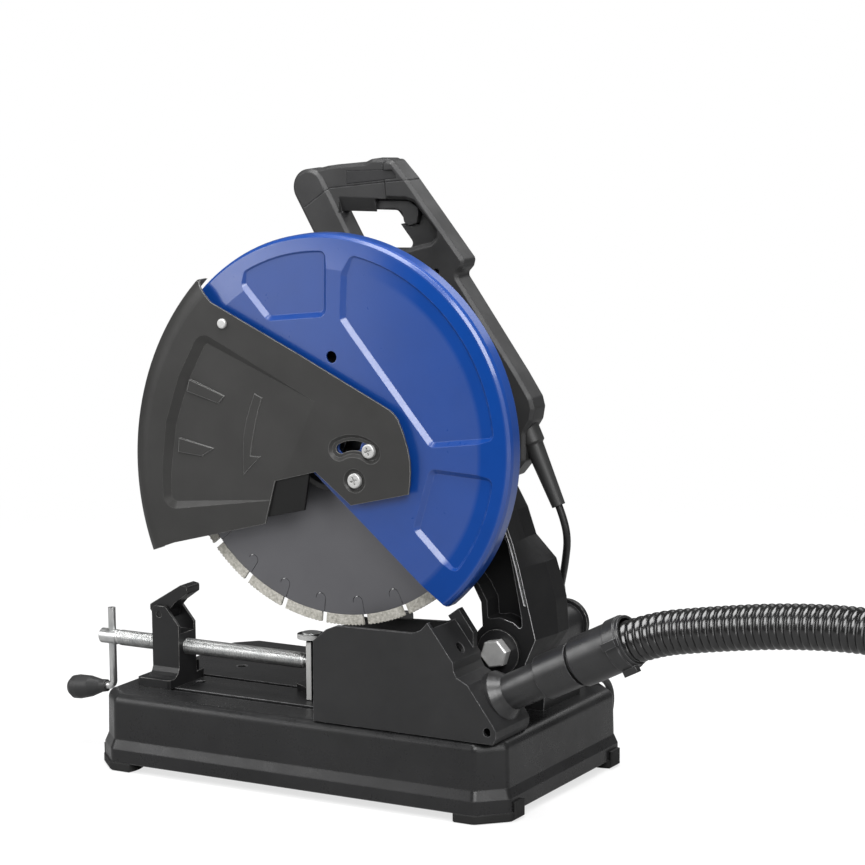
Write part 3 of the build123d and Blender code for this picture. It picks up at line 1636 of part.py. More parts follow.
# Outlet pipe with its sleeve, hose cuff, hose, hose end
sleeve_run = 51.6
sleeve_end = 86.4
sleeve_r = 20.8
cuff_r = 23.3
cuff_ring_r = 24.8
cuff_run = 90
cuff_end = 147
ring_run = cuff_end - 16
pipe_plane = Plane(origin=outlet, x_dir=pipe_dir, z_dir=(0, 1, 0))
seat_run = 98
spigot_r = hose_bore_r - 0.4
knob_reach = -(rod_end.X + knob_nose * knob_dir[0] - 4 * sin(knob_drop))
spigot_end = (knob_reach - outlet[0] - spigot_r * sin(radians(pipe_angle))) / cos(radians(pipe_angle))
box_face = Plane(origin=(outlet[0] + 0.03, 0, outlet[2] + 0.03), x_dir=(0, 1, 0), z_dir=slope_n)
with BuildPart() as dust_pipe:
    with BuildSketch(pipe_plane):
        with BuildLine():
            Polyline(
                (-16, 10),
                (-16, pipe_r + 8),
                (3, pipe_r + 7),
                (9, pipe_r + 2.5),
                (13, pipe_r),
                (13, 10),
                close=True,
            )
        make_face()
    revolve(axis=Axis(outlet, pipe_dir))
    with BuildSketch(pipe_at(-14)):
        Circle(pipe_r)
    extrude(amount=14 + sleeve_run)
    with BuildSketch(pipe_at(sleeve_run)):
        Circle(sleeve_r)
    extrude(amount=sleeve_end - sleeve_run)
    with BuildSketch(pipe_at(sleeve_end)):
        Circle(pipe_r - 0.4)
    extrude(amount=seat_run - 2 - sleeve_end)
    with BuildSketch(pipe_at(seat_run - 2)):
        Circle(spigot_r)
    extrude(amount=spigot_end - seat_run + 2)
    with BuildSketch(pipe_at(-20)):
        Circle(pipe_bore)
    extrude(amount=140, mode=Mode.SUBTRACT)
    split(bisect_by=box_face, keep=Keep.TOP)
dust_pipe.part.label = "dust_pipe"
export_step(dust_pipe.part, "parts/dust_pipe.step")

with BuildPart() as hose_cuff:
    with BuildSketch(pipe_at(cuff_run)):
        Circle(cuff_r)
    extrude(amount=cuff_end - cuff_run)
    with BuildSketch(pipe_at(ring_run)):
        Circle(cuff_ring_r)
    extrude(amount=12)
    chamfer(faces().sort_by(Axis(outlet, pipe_dir))[0].edges(), 1.5)
    with BuildSketch(pipe_at(ring_run)):
        with Locations((-25.5, 4), (-8, -24.5)):
            Rectangle(7, 7)
    extrude(amount=14)
    with BuildSketch(pipe_at(cuff_run - 1)):
        Circle(pipe_r - 0.4 + seat_gap)
    extrude(amount=seat_run - cuff_run + 1, mode=Mode.SUBTRACT)
    with BuildSketch(pipe_at(seat_run)):
        Circle(hose_r + 0.9)
    extrude(amount=cuff_end, mode=Mode.SUBTRACT)
hose_cuff.part.label = "hose_cuff"
export_step(hose_cuff.part, "parts/hose_cuff.step")

floor_lie = hose_r + 0.6


def along(run):
    return (outlet[0] + run * pipe_dir[0], pipe_y, outlet[2] + run * pipe_dir[2])


hose_turn = [40, 60, 80, 100]
hose_step = 72
hose_knots = [
    along(seat_run + 1),
    along(cuff_end + 12),
    (408, pipe_y - 1.5, 193.5),
    (482, pipe_y - 3, 204.5),
    (556, pipe_y - 5, 208.5),
    (630, pipe_y - 3, 200),
    (698, pipe_y + 3, 168),
    (752, pipe_y + 13, 117),
    (804, pipe_y + 28, 64),
    (866, pipe_y + 54, 29),
]
for heading in hose_turn:
    last = hose_knots[-1]
    hose_knots.append(
        (last[0] + hose_step * cos(radians(heading)), last[1] + hose_step * sin(radians(heading)), floor_lie)
    )


def bend_radii(knots):
    """Bend radius at each inner knot: 0.45 of the shorter run over the tangent of half the turn."""
    radii = []
    for before, knot, after in zip(knots, knots[1:], knots[2:]):
        run_in = Vector(*knot) - Vector(*before)
        run_out = Vector(*after) - Vector(*knot)
        turn = radians(run_in.get_angle(run_out))
        radii.append(0.45 * min(run_in.length, run_out.length) / tan(turn / 2))
    return radii


hose_radii = bend_radii(hose_knots)
with BuildLine() as hose_path:
    FilletPolyline(*hose_knots, radius=hose_radii)
hose_wire = hose_path.wires()[0]
hose_length = hose_wire.length
hose_ribs = int(hose_length / hose_pitch)


def hose_plane(run):
    spot = hose_wire.position_at(run / hose_length)
    ahead = hose_wire.tangent_at(run / hose_length)
    across = Vector(0, 0, 1).cross(ahead)
    return Plane(origin=spot, x_dir=across, z_dir=ahead)


rib_shape = [(0.0, hose_valley_r), (0.22, hose_r), (0.62, hose_r), (0.84, hose_valley_r)]
with BuildPart() as hose:
    for rib in range(hose_ribs):
        for part_way, radius in rib_shape:
            with BuildSketch(hose_plane((rib + part_way) * hose_pitch)):
                Circle(radius)
    loft(ruled=True)
    for rib in range(hose_ribs + 1):
        bore_run = min(rib * hose_pitch, (hose_ribs - 1 + rib_shape[-1][0]) * hose_pitch)
        with BuildSketch(hose_plane(bore_run)):
            Circle(hose_bore_r)
    loft(ruled=True, mode=Mode.SUBTRACT)
hose.part.label = "hose"
export_step(hose.part, "parts/hose.step")
hose_run = (hose_ribs - 1 + rib_shape[-1][0]) * hose_pitch
hose_tip = hose_plane(hose_run)
print("hose length", hose_run, "ribs", hose_ribs, "radii", [round(r) for r in hose_radii])

with BuildPart() as hose_connector:
    with BuildSketch(hose_tip.offset(-14)):
        Circle(hose_bore_r - 0.4)
    extrude(amount=16)
    with BuildSketch(hose_tip.offset(0.2)):
        Circle(hose_r)
    extrude(amount=12)
    with BuildSketch(hose_tip.offset(12.2)):
        Circle(18)
    extrude(amount=36, taper=1.5)
    with BuildSketch(hose_tip.offset(-15)):
        Circle(13)
    extrude(amount=70, mode=Mode.SUBTRACT)
hose_connector.part.label = "hose_connector"
export_step(hose_connector.part, "parts/hose_connector.step")

# Mains cord: free stretch from the sleeve to the clip on the base, then tail, coil and plug
far_edge = base_width / 2
free_knots = [
    boot_at(-6),
    boot_at(8),
    (216.8, 13, 237.5),
    (209, 23, 212),
    (198.5, 38, 193),
    (187.5, 57, 182),
    (178.5, 77, 175),
    (172.3, 89.8, 157.3),
    (174.9, 94.8, 137.1),
    (179, 90.9, 116.4),
    (184.5, 94.2, 99),
    (190.294, far_edge - 29.4, 85.735),
    (191.6, far_edge - 11, 79.8),
]
with BuildPart() as cord_free:
    with BuildLine() as free_path:
        FilletPolyline(*free_knots, radius=bend_radii(free_knots))
    with BuildSketch(Plane(origin=free_path.line @ 0, z_dir=free_path.line % 0)):
        Circle(cord_r)
    sweep()
cord_free.part.label = "cord_free"
export_step(cord_free.part, "parts/cord_free.step")
print("free cord", free_path.wires()[0].length, [round(r) for r in bend_radii(free_knots)])

coil_x = 70
coil_y = far_edge + 84
coil_low = cord_r + 1.9
coil_half = coil_turns / 2


def coil_spot(turn):
    """Piled loops: in on the lower layer, out on the upper one, climbing in the half turn between."""
    angle = -pi / 2 - 2 * pi * turn
    radius = coil_r - coil_pitch * coil_half / 2 + coil_pitch * abs(turn - coil_half)
    climb = min(max((turn - coil_half) * 2 + 0.5, 0), 1)
    height = coil_low + coil_pitch * climb * climb * (3 - 2 * climb)
    return Vector(coil_x + radius * cos(angle), coil_y + radius * sin(angle), height)


def on_coil(turn):
    """Point and heading on the coil after so many turns, starting at its near side."""
    step = 0.01
    heading = (coil_spot(turn + step) - coil_spot(turn - step)).normalized()
    return coil_spot(turn), heading


def biarc(start, start_dir, end, end_dir):
    """Two arcs that join two points and match both headings."""
    chord = end - start
    both = start_dir + end_dir
    share = 2 * (1 - start_dir.dot(end_dir))
    along_both = chord.dot(both)
    reach = (-along_both + sqrt(along_both**2 + share * chord.dot(chord))) / share
    first = start + start_dir * reach
    second = end - end_dir * reach
    middle = (first + second) * 0.5
    return [(start, middle, start_dir), (middle, end, second - first)]


coil_start, start_heading = on_coil(0)
coil_end, end_heading = on_coil(coil_turns)
lead_in = coil_start - start_heading * 26
lead_out = coil_end + end_heading * 26
plug_z = 17.4
plug_y = coil_end.Y - 2
tail_knots = [
    free_knots[-1],
    (192.7, far_edge + 4.5, 74.8),
    (192, far_edge + 20, 60),
    (189, far_edge + 26, 40),
    (182, far_edge + 29, 22),
    (164, far_edge + 31, 9.6),
    (132, far_edge + 31.8, 5.9),
    (lead_in.X, lead_in.Y, lead_in.Z),
    (coil_start.X, coil_start.Y, coil_start.Z),
]
lead_knots = [
    (coil_end.X, coil_end.Y, coil_end.Z),
    (lead_out.X, lead_out.Y, lead_out.Z),
    (coil_end.X - 54, plug_y - 1.5, coil_end.Z + 2),
    (coil_end.X - 80, plug_y, plug_z),
    (coil_end.X - 104, plug_y, plug_z),
]
quarters = 4 * coil_turns
with BuildPart() as cord_coil:
    with BuildLine() as coil_path:
        FilletPolyline(*tail_knots, radius=bend_radii(tail_knots))
        for quarter in range(quarters):
            p0, d0 = on_coil(quarter / 4)
            p1, d1 = on_coil((quarter + 1) / 4)
            for arc_start, arc_end, heading in biarc(p0, d0, p1, d1):
                TangentArc(arc_start, arc_end, tangent=heading)
        FilletPolyline(*lead_knots, radius=bend_radii(lead_knots))
    with BuildSketch(Plane(origin=coil_path.line @ 0, z_dir=coil_path.line % 0)):
        Circle(cord_r)
    sweep()
cord_coil.part.label = "cord_coil"
export_step(cord_coil.part, "parts/cord_coil.step")
coil_length = coil_path.wires()[0].length
print("coil cord", coil_length, [round(r) for r in bend_radii(tail_knots)])
print("plug lead", [round(r) for r in bend_radii(lead_knots)])
print("cord volume over section times length", cord_coil.part.volume / (pi * cord_r**2 * coil_length))

with BuildPart() as cord_clip:
    with BuildSketch(Plane.XY.offset(base_top)):
        with Locations((free_knots[-2][0] + 0.5, far_edge - 20)):
            RectangleRounded(12, 7, 2)
    extrude(amount=cord_r * 2 + 9)
    with BuildSketch(Plane(origin=free_knots[-2], z_dir=Vector(*free_knots[-1]) - Vector(*free_knots[-2]))):
        Circle(cord_r + 0.8)
    extrude(amount=20, mode=Mode.SUBTRACT)
cord_clip.part.label = "cord_clip"
export_step(cord_clip.part, "parts/cord_clip.step")

tie_wall = 1.2
tie_low = coil_low - cord_r - 0.3
tie_high = coil_low + coil_pitch + cord_r + 0.3
tie_y = coil_y + coil_r
tie_half = coil_pitch + cord_r + 0.8
with BuildPart() as cord_tie:
    with BuildSketch(Plane.YZ.offset(coil_x - 5)):
        with Locations((tie_y, (tie_low + tie_high) / 2)):
            RectangleRounded(2 * (tie_half + tie_wall), tie_high - tie_low + 2 * tie_wall, 2.5)
            RectangleRounded(2 * tie_half, tie_high - tie_low, 1.4, mode=Mode.SUBTRACT)
    extrude(amount=10)
cord_tie.part.label = "cord_tie"
export_step(cord_tie.part, "parts/cord_tie.step")

plug_x = lead_knots[-1][0]
plug_plane = Plane(origin=(plug_x, plug_y, plug_z), x_dir=(-1, 0, 0), z_dir=(0, 1, 0))
with BuildPart() as plug:
    with BuildSketch(plug_plane):
        with BuildLine():
            Polyline((0.3, 0), (0.3, 6), (12, 8), (18, 14), (24, 17), (44, 17), (44, 0), close=True)
        make_face()
    revolve(axis=Axis((plug_x, plug_y, plug_z), (-1, 0, 0)))
plug.part.label = "plug"
export_step(plug.part, "parts/plug.step")

with BuildPart() as plug_pins:
    with BuildSketch(Plane(origin=(plug_x - 44, plug_y, plug_z), x_dir=(0, 1, 0), z_dir=(-1, 0, 0))):
        with Locations((-9.5, 0), (9.5, 0)):
            Circle(2.4)
    extrude(amount=19)
plug_pins.part.label = "plug_pins"
export_step(plug_pins.part, "parts/plug_pins.step")

# Return spring round the hinge bolt inside the post
spring_rise = spring_pitch / (2 * pi * spring_r)


def on_spring(turn):
    angle = 2 * pi * turn
    spot = Vector(
        hinge_x + spring_r * cos(angle),
        spring_start + spring_pitch * turn,
        hinge_z + spring_r * sin(angle),
    )
    heading = Vector(-sin(angle), spring_rise, cos(angle)).normalized()
    return spot, heading


with BuildPart() as return_spring:
    with BuildLine() as spring_path:
        for quarter in range(4 * spring_turns):
            p0, d0 = on_spring(quarter / 4)
            p1, d1 = on_spring((quarter + 1) / 4)
            for arc_start, arc_end, heading in biarc(p0, d0, p1, d1):
                TangentArc(arc_start, arc_end, tangent=heading)
    with BuildSketch(Plane(origin=spring_path.line @ 0, z_dir=spring_path.line % 0)):
        Circle(spring_wire_r)
    sweep()
return_spring.part.label = "return_spring"
export_step(return_spring.part, "parts/return_spring.step")


def least_gap(line, radius, apart):
    """Least space between stretches of one tube that lie further apart along it than given."""
    count = int(line.length / (radius * 0.8))
    spots = [line.position_at(i / count) for i in range(count + 1)]
    skip = int(apart / (line.length / count)) + 1
    least = min(
        (spots[i] - spots[j]).length for i in range(len(spots)) for j in range(i + skip, len(spots))
    )
    return least - 2 * radius


print("coil gap", least_gap(coil_path.wires()[0], cord_r, 40))
print("spring gap", least_gap(spring_path.wires()[0], spring_wire_r, 20))
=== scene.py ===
import json
import math

import bpy
from mathutils import Matrix, Vector


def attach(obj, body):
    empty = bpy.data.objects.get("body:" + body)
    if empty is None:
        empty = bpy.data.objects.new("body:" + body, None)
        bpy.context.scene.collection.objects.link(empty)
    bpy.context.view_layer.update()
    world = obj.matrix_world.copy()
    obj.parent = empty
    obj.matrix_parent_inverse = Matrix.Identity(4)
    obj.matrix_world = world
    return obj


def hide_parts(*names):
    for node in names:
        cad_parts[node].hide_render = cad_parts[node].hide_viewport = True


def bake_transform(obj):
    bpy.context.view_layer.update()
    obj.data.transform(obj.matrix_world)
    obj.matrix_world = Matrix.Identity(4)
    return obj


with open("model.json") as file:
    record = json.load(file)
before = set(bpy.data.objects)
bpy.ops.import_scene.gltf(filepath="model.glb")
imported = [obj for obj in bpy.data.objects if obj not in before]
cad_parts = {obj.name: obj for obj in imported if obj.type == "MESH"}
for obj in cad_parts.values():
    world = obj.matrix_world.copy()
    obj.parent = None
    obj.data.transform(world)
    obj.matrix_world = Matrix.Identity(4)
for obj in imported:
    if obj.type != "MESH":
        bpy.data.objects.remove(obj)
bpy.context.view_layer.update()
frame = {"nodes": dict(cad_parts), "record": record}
nodes = frame["nodes"]

MM = 0.001


# Small helpers
def link(obj):
    bpy.context.scene.collection.objects.link(obj)
    return obj


def mesh_piece(name, verts, faces, smooth_angle=35.0):
    mesh = bpy.data.meshes.new(name)
    mesh.from_pydata([tuple(v) for v in verts], [], faces)
    mesh.validate()
    mesh.update()
    obj = link(bpy.data.objects.new(name, mesh))
    mesh.shade_smooth()
    if smooth_angle < 180:
        mesh.set_sharp_from_angle(angle=math.radians(smooth_angle))
    return obj


def mm(point):
    return Vector(point) * MM


def nurbs_points(name, knots, resolution=16):
    """Points read from a smooth curve with the knots as its control points."""
    curve = bpy.data.curves.new(name, "CURVE")
    curve.dimensions = "3D"
    curve.resolution_u = resolution
    spline = curve.splines.new("NURBS")
    spline.points.add(len(knots) - 1)
    for point, knot in zip(spline.points, knots):
        point.co = (*knot, 1.0)
    spline.order_u = 3
    spline.use_endpoint_u = True
    obj = link(bpy.data.objects.new(name, curve))
    bpy.context.view_layer.update()
    depsgraph = bpy.context.evaluated_depsgraph_get()
    mesh = bpy.data.meshes.new_from_object(obj.evaluated_get(depsgraph))
    points = [v.co.copy() for v in mesh.vertices]
    bpy.data.meshes.remove(mesh)
    bpy.data.objects.remove(obj)
    bpy.data.curves.remove(curve)
    return points


class Route:
    """A centreline with its arc length, for tubes and what rides along them."""

    def __init__(self, points):
        self.points = points
        self.runs = [0.0]
        for a, b in zip(points, points[1:]):
            self.runs.append(self.runs[-1] + (b - a).length)
        self.length = self.runs[-1]
        tangents = []
        for i in range(len(points)):
            a = points[max(i - 1, 0)]
            b = points[min(i + 1, len(points) - 1)]
            tangents.append((b - a).normalized())
        side = tangents[0].orthogonal().normalized()
        self.axes = []
        for tangent in tangents:
            side = (side - tangent * side.dot(tangent)).normalized()
            self.axes.append((tangent, side.copy()))

    def at(self, run):
        run = min(max(run, 0.0), self.length)
        low, high = 0, len(self.runs) - 1
        while high - low > 1:
            middle = (low + high) // 2
            if self.runs[middle] <= run:
                low = middle
            else:
                high = middle
        share = (run - self.runs[low]) / max(self.runs[high] - self.runs[low], 1e-12)
        spot = self.points[low].lerp(self.points[high], share)
        tangent = self.axes[low][0].lerp(self.axes[high][0], share).normalized()
        side = self.axes[low][1].lerp(self.axes[high][1], share)
        side = (side - tangent * side.dot(tangent)).normalized()
        return spot, tangent, side


def swept(name, route, section, around=32, closed=False, smooth_angle=50.0):
    """A round skin along a route: section is a list of (run, radius), closed joins last to first."""
    verts, faces = [], []
    for run, radius in section:
        spot, tangent, side = route.at(run)
        other = tangent.cross(side)
        for k in range(around):
            angle = 2 * math.pi * k / around
            verts.append(spot + side * (radius * math.cos(angle)) + other * (radius * math.sin(angle)))
    rings = len(section)
    for i in range(rings if closed else rings - 1):
        a, b = i * around, ((i + 1) % rings) * around
        for k in range(around):
            n = (k + 1) % around
            faces.append((a + k, a + n, b + n, b + k))
    if not closed:
        faces.append(tuple(range(around - 1, -1, -1)))
        faces.append(tuple(range((rings - 1) * around, rings * around)))
    return mesh_piece(name, verts, faces, smooth_angle)


# Camera at the photograph's viewing angle
AZIMUTH, ELEVATION, ROLL = (math.radians(a) for a in (30.49, 10.71, -0.70))
PICTURE = 865
FOCAL_PX = 3124.55
CENTRE_PX = (357.37, 507.63)
AIM = Vector((0, 0, 0.25))
DISTANCE = 2.97019
SENSOR = 36
back = Vector(
    (
        math.sin(AZIMUTH) * math.cos(ELEVATION),
        -math.cos(AZIMUTH) * math.cos(ELEVATION),
        math.sin(ELEVATION),
    )
)
level = Vector((math.cos(AZIMUTH), math.sin(AZIMUTH), 0))
upright = back.cross(level)
right = level * math.cos(ROLL) + upright * math.sin(ROLL)
up = upright * math.cos(ROLL) - level * math.sin(ROLL)
camera_data = bpy.data.cameras.new("camera")
camera_data.sensor_width = SENSOR
camera_data.lens = FOCAL_PX / PICTURE * SENSOR
camera_data.shift_x = (PICTURE / 2 - CENTRE_PX[0]) / PICTURE
camera_data.shift_y = (CENTRE_PX[1] - PICTURE / 2) / PICTURE
camera_data.clip_start, camera_data.clip_end = 0.05, 60
camera = link(bpy.data.objects.new("camera", camera_data))
turn = Matrix((right, up, back)).transposed()
camera.matrix_world = Matrix.Translation(AIM + back * DISTANCE) @ turn.to_4x4()
bpy.context.scene.camera = camera

# Cords: the hose and the mains lead
FLOOR_LIE = 20.6
HOSE_KNOTS = [
    (288.6, -90, 153.6),
    (342.1, -90, 180.9),
    (408, -91.5, 193.5),
    (482, -93, 204.5),
    (556, -95, 208.5),
    (630, -93, 200),
    (698, -87, 168),
    (752, -77, 117),
    (804, -62, 64),
    (866, -36, 29),
    (921.2, 10.3, FLOOR_LIE),
    (957.2, 72.6, FLOOR_LIE),
    (969.7, 143.5, FLOOR_LIE),
    (957.2, 214.4, FLOOR_LIE),
]
HOSE_CREST, HOSE_VALLEY, HOSE_BORE, HOSE_PITCH = (v * MM for v in (20, 18.1, 16.4, 7.2))
RIB_STEPS, RIB_FULLNESS = 8, 0.8

hose_route = Route(nurbs_points("hose_line", [mm(k) for k in HOSE_KNOTS]))
hose_ribs = int(hose_route.length / HOSE_PITCH)
hose_end = hose_ribs * HOSE_PITCH
section = []
for rib in range(hose_ribs):
    for step in range(RIB_STEPS):
        swell = abs(math.sin(math.pi * step / RIB_STEPS)) ** RIB_FULLNESS
        radius = HOSE_VALLEY + (HOSE_CREST - HOSE_VALLEY) * swell
        section.append(((rib + step / RIB_STEPS) * HOSE_PITCH, radius))
section.append((hose_end, HOSE_VALLEY))
for rib in range(hose_ribs, -1, -1):
    section.append((rib * HOSE_PITCH, HOSE_BORE))
hose = swept("hose_ribbed", hose_route, section, around=40, closed=True, smooth_angle=60)
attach(hose, "base")
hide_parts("hose")

CORD_R = 3.5 * MM
FREE_KNOTS = [
    (206.988, 10.5, 271.449),
    (212.849, 10.5, 258.735),
    (216.8, 13, 237.5),
    (209, 23, 212),
    (198.5, 38, 193),
    (187.5, 57, 182),
    (178.5, 77, 175),
    (172.3, 89.8, 157.3),
    (174.9, 94.8, 137.1),
    (179, 90.9, 116.4),
    (184.5, 94.2, 99),
    (190.294, 106.6, 85.735),
    (191.6, 125, 79.8),
]
COIL_CENTRE, COIL_R, COIL_PITCH, COIL_TURNS, COIL_LOW = (70, 220), 41, 7.7, 6, 5.4
POINTS_PER_TURN = 16


def coil_spot(turns):
    angle = -math.pi / 2 - 2 * math.pi * turns
    half = COIL_TURNS / 2
    radius = COIL_R - COIL_PITCH * half / 2 + COIL_PITCH * abs(turns - half)
    climb = min(max((turns - half) * 2 + 0.5, 0), 1)
    height = COIL_LOW + COIL_PITCH * climb * climb * (3 - 2 * climb)
    return (COIL_CENTRE[0] + radius * math.cos(angle), COIL_CENTRE[1] + radius * math.sin(angle), height)


TAIL_KNOTS = [
    FREE_KNOTS[-1],
    (192.7, 140.5, 74.8),
    (192, 156, 60),
    (189, 162, 40),
    (182, 165, 22),
    (164, 167, 9.6),
    (132, 167.8, 5.9),
    (96, 167.9, COIL_LOW),
]
COIL_KNOTS = [coil_spot(i / POINTS_PER_TURN) for i in range(COIL_TURNS * POINTS_PER_TURN + 1)]
LEAD_KNOTS = [(44, 167, 13.1), (16, 163.95, 15.1), (-10, 165.45, 17.4), (-34, 165.45, 17.4)]

free_route = Route(nurbs_points("free_line", [mm(k) for k in FREE_KNOTS]))
free_section = [(run, CORD_R) for run in free_route.runs]
lead = swept("cord_lead", free_route, free_section, around=20)
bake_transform(lead)
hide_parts("cord_free")

stored_route = Route(nurbs_points("stored_line", [mm(k) for k in TAIL_KNOTS + COIL_KNOTS + LEAD_KNOTS], 6))
stored_section = [(run, CORD_R) for run in stored_route.runs]
stored = swept("cord_stored", stored_route, stored_section, around=16)
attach(stored, "base")
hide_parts("cord_coil")


# Vise screw with its thread
SCREW_Y, SCREW_Z, SCREW_PITCH, SCREW_STARTS = -60.5, 111, 2.0, 2
SCREW_CREST, SCREW_ROOT = 7.7, 6.7
SCREW_AROUND = 40
SCREW_HEAD = [
    (-257.4, 0.0),
    (-257.4, 6.4),
    (-256.4, 7.4),
    (-238.5, 7.4),
    (-237.5, 6.4),
    (-237.5, SCREW_ROOT),
]
THREAD_START, THREAD_END, THREAD_STEPS = -236.5, -23.4, 8
SCREW_NECK = [(-22.4, SCREW_ROOT), (-22.4, 4.5), (-15.8, 4.5), (-15.8, 0.0)]
FLANK_HALF, FLANK_RUN, FADE_RUN, AXIS_R = 0.36, 0.16, 3, 0.01


def thread_height(share):
    """Height of a thread's flank, from root to crest and back, over one pitch."""
    share %= 1.0
    return min(max((FLANK_HALF - abs(share - 0.5)) / FLANK_RUN, 0.0), 1.0)


def screw_ring(x, radius_at):
    ring = []
    for k in range(SCREW_AROUND):
        angle = 2 * math.pi * k / SCREW_AROUND
        radius = radius_at(k / SCREW_AROUND)
        ring.append(mm((x, SCREW_Y + radius * math.cos(angle), SCREW_Z + radius * math.sin(angle))))
    return ring


def threaded_screw():
    rings = [screw_ring(x, lambda _, r=r: max(r, AXIS_R)) for x, r in SCREW_HEAD]
    steps = int((THREAD_END - THREAD_START) / SCREW_PITCH * THREAD_STEPS)
    for i in range(steps + 1):
        x = THREAD_START + (THREAD_END - THREAD_START) * i / steps
        fade = min((x - THREAD_START) / FADE_RUN, (THREAD_END - x) / FADE_RUN, 1.0)

        def radius_at(share, x=x, fade=fade):
            lift = thread_height(x / SCREW_PITCH - SCREW_STARTS * share)
            return SCREW_ROOT + (SCREW_CREST - SCREW_ROOT) * lift * fade

        rings.append(screw_ring(x, radius_at))
    rings += [screw_ring(x, lambda _, r=r: max(r, AXIS_R)) for x, r in SCREW_NECK]
    verts = [v for ring in rings for v in ring]
    faces = []
    for i in range(len(rings) - 1):
        a, b = i * SCREW_AROUND, (i + 1) * SCREW_AROUND
        for k in range(SCREW_AROUND):
            n = (k + 1) % SCREW_AROUND
            faces.append((a + k, a + n, b + n, b + k))
    faces.append(tuple(range(SCREW_AROUND - 1, -1, -1)))
    faces.append(tuple(range((len(rings) - 1) * SCREW_AROUND, len(rings) * SCREW_AROUND)))
    return mesh_piece("vise_screw_threaded", verts, faces, 32)


screw = threaded_screw()
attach(screw, "screw")
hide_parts("vise_screw")

# Blade segments with a worn, toothed outer edge
BLADE_X, BLADE_Y, BLADE_Z = 30, -88, 332.5
SEGMENT_OUT, SEGMENT_IN, SEGMENT_HALF = 175.0, 165.02, 1.6
SEGMENT_COUNT, SEGMENT_GAP, SEGMENT_PHASE = 24, 5.4, 10.1
SEGMENT_STEPS, TOOTH_DEPTH, END_WEAR = 44, 1.1, 0.4


def blade_segments():
    verts, faces = [], []
    for number in range(SEGMENT_COUNT):
        start = 2 * math.pi * number / SEGMENT_COUNT + math.radians(SEGMENT_PHASE)
        end = start + 2 * math.pi / SEGMENT_COUNT
        first = len(verts)
        for i in range(SEGMENT_STEPS + 1):
            wear = abs(math.sin(i * 2.4 + number * 1.7)) * abs(math.sin(i * 0.77 + number * 2.3))
            if i in (0, SEGMENT_STEPS):
                wear = END_WEAR
            for radius in (SEGMENT_IN, SEGMENT_OUT - TOOTH_DEPTH * wear):
                gap = math.asin(SEGMENT_GAP / 2 / radius)
                angle = start + gap + (end - start - 2 * gap) * i / SEGMENT_STEPS
                x, z = BLADE_X + radius * math.cos(angle), BLADE_Z + radius * math.sin(angle)
                for y in (BLADE_Y - SEGMENT_HALF, BLADE_Y + SEGMENT_HALF):
                    verts.append(mm((x, y, z)))
        for i in range(SEGMENT_STEPS):
            a, b = first + 4 * i, first + 4 * i + 4
            faces.append((a, a + 2, b + 2, b))
            faces.append((a + 3, a + 1, b + 1, b + 3))
            faces.append((a + 2, a + 3, b + 3, b + 2))
            faces.append((a + 1, a, b, b + 1))
        last = first + 4 * SEGMENT_STEPS
        faces += [(first, first + 1, first + 3, first + 2), (last, last + 2, last + 3, last + 1)]
    return mesh_piece("blade_teeth", verts, faces, 15)


teeth = blade_segments()
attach(teeth, "blade")
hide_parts("blade_segments")

# Arrow pressed out of the swing guard's sloping panel
PANEL_FRONT, RAMP_X, RAMP_Z, RAMP_TILT = -117.0, 4.0, 326.0, 5 / 130
RAMP_ANGLE = math.radians(26)
RAMP_N = (-math.cos(RAMP_ANGLE), math.sin(RAMP_ANGLE))
ARROW_OUTLINE = [
    (-40.7, 373),
    (-32, 369.3),
    (-35.2, 360),
    (-38.4, 349),
    (-41, 338),
    (-43.2, 327),
    (-45.2, 314.6),
    (-34.3, 314.6),
    (-53.5, 295.3),
    (-54, 310.5),
    (-53.7, 330),
    (-50.4, 347),
    (-45.5, 361),
]
ARROW_RISE, ARROW_EDGE, ARROW_SINK = 0.7, 0.55, 0.4


def panel_y(x, z):
    """Depth of the swing guard's sloping panel at a point of it."""
    drop = RAMP_TILT * ((x - RAMP_X) * RAMP_N[0] + (z - RAMP_Z) * RAMP_N[1])
    return PANEL_FRONT + max(drop, 0.0)


def inset(outline, amount):
    """The outline drawn in by an amount, corner by corner."""
    drawn = []
    count = len(outline)
    for i in range(count):
        a, b, c = (Vector(outline[j % count]) for j in (i - 1, i, i + 1))
        n1 = Vector((-(b - a).y, (b - a).x)).normalized()
        n2 = Vector((-(c - b).y, (c - b).x)).normalized()
        both = (n1 + n2) / max((1 + n1.dot(n2)), 0.35)
        drawn.append(b - both * amount)
    return drawn


def raised_shape(name, outline, rise, edge, sink):
    """A low raised shape on the panel, with sloping edges."""
    inner = inset(outline, edge)
    layers = [[(p, -sink) for p in outline], [(p, 0.0) for p in outline], [(p, rise) for p in inner]]
    verts = [mm((p[0], panel_y(p[0], p[1]) - lift, p[1])) for layer in layers for p, lift in layer]
    count = len(outline)
    faces = []
    for i in range(2):
        for k in range(count):
            n = (k + 1) % count
            faces.append((i * count + k, i * count + n, (i + 1) * count + n, (i + 1) * count + k))
    faces.append(tuple(range(2 * count, 3 * count)))
    faces.append(tuple(range(count - 1, -1, -1)))
    return mesh_piece(name, verts, faces, 20)


arrow = raised_shape("swing_arrow", ARROW_OUTLINE, ARROW_RISE, ARROW_EDGE, ARROW_SINK)
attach(arrow, "swing")


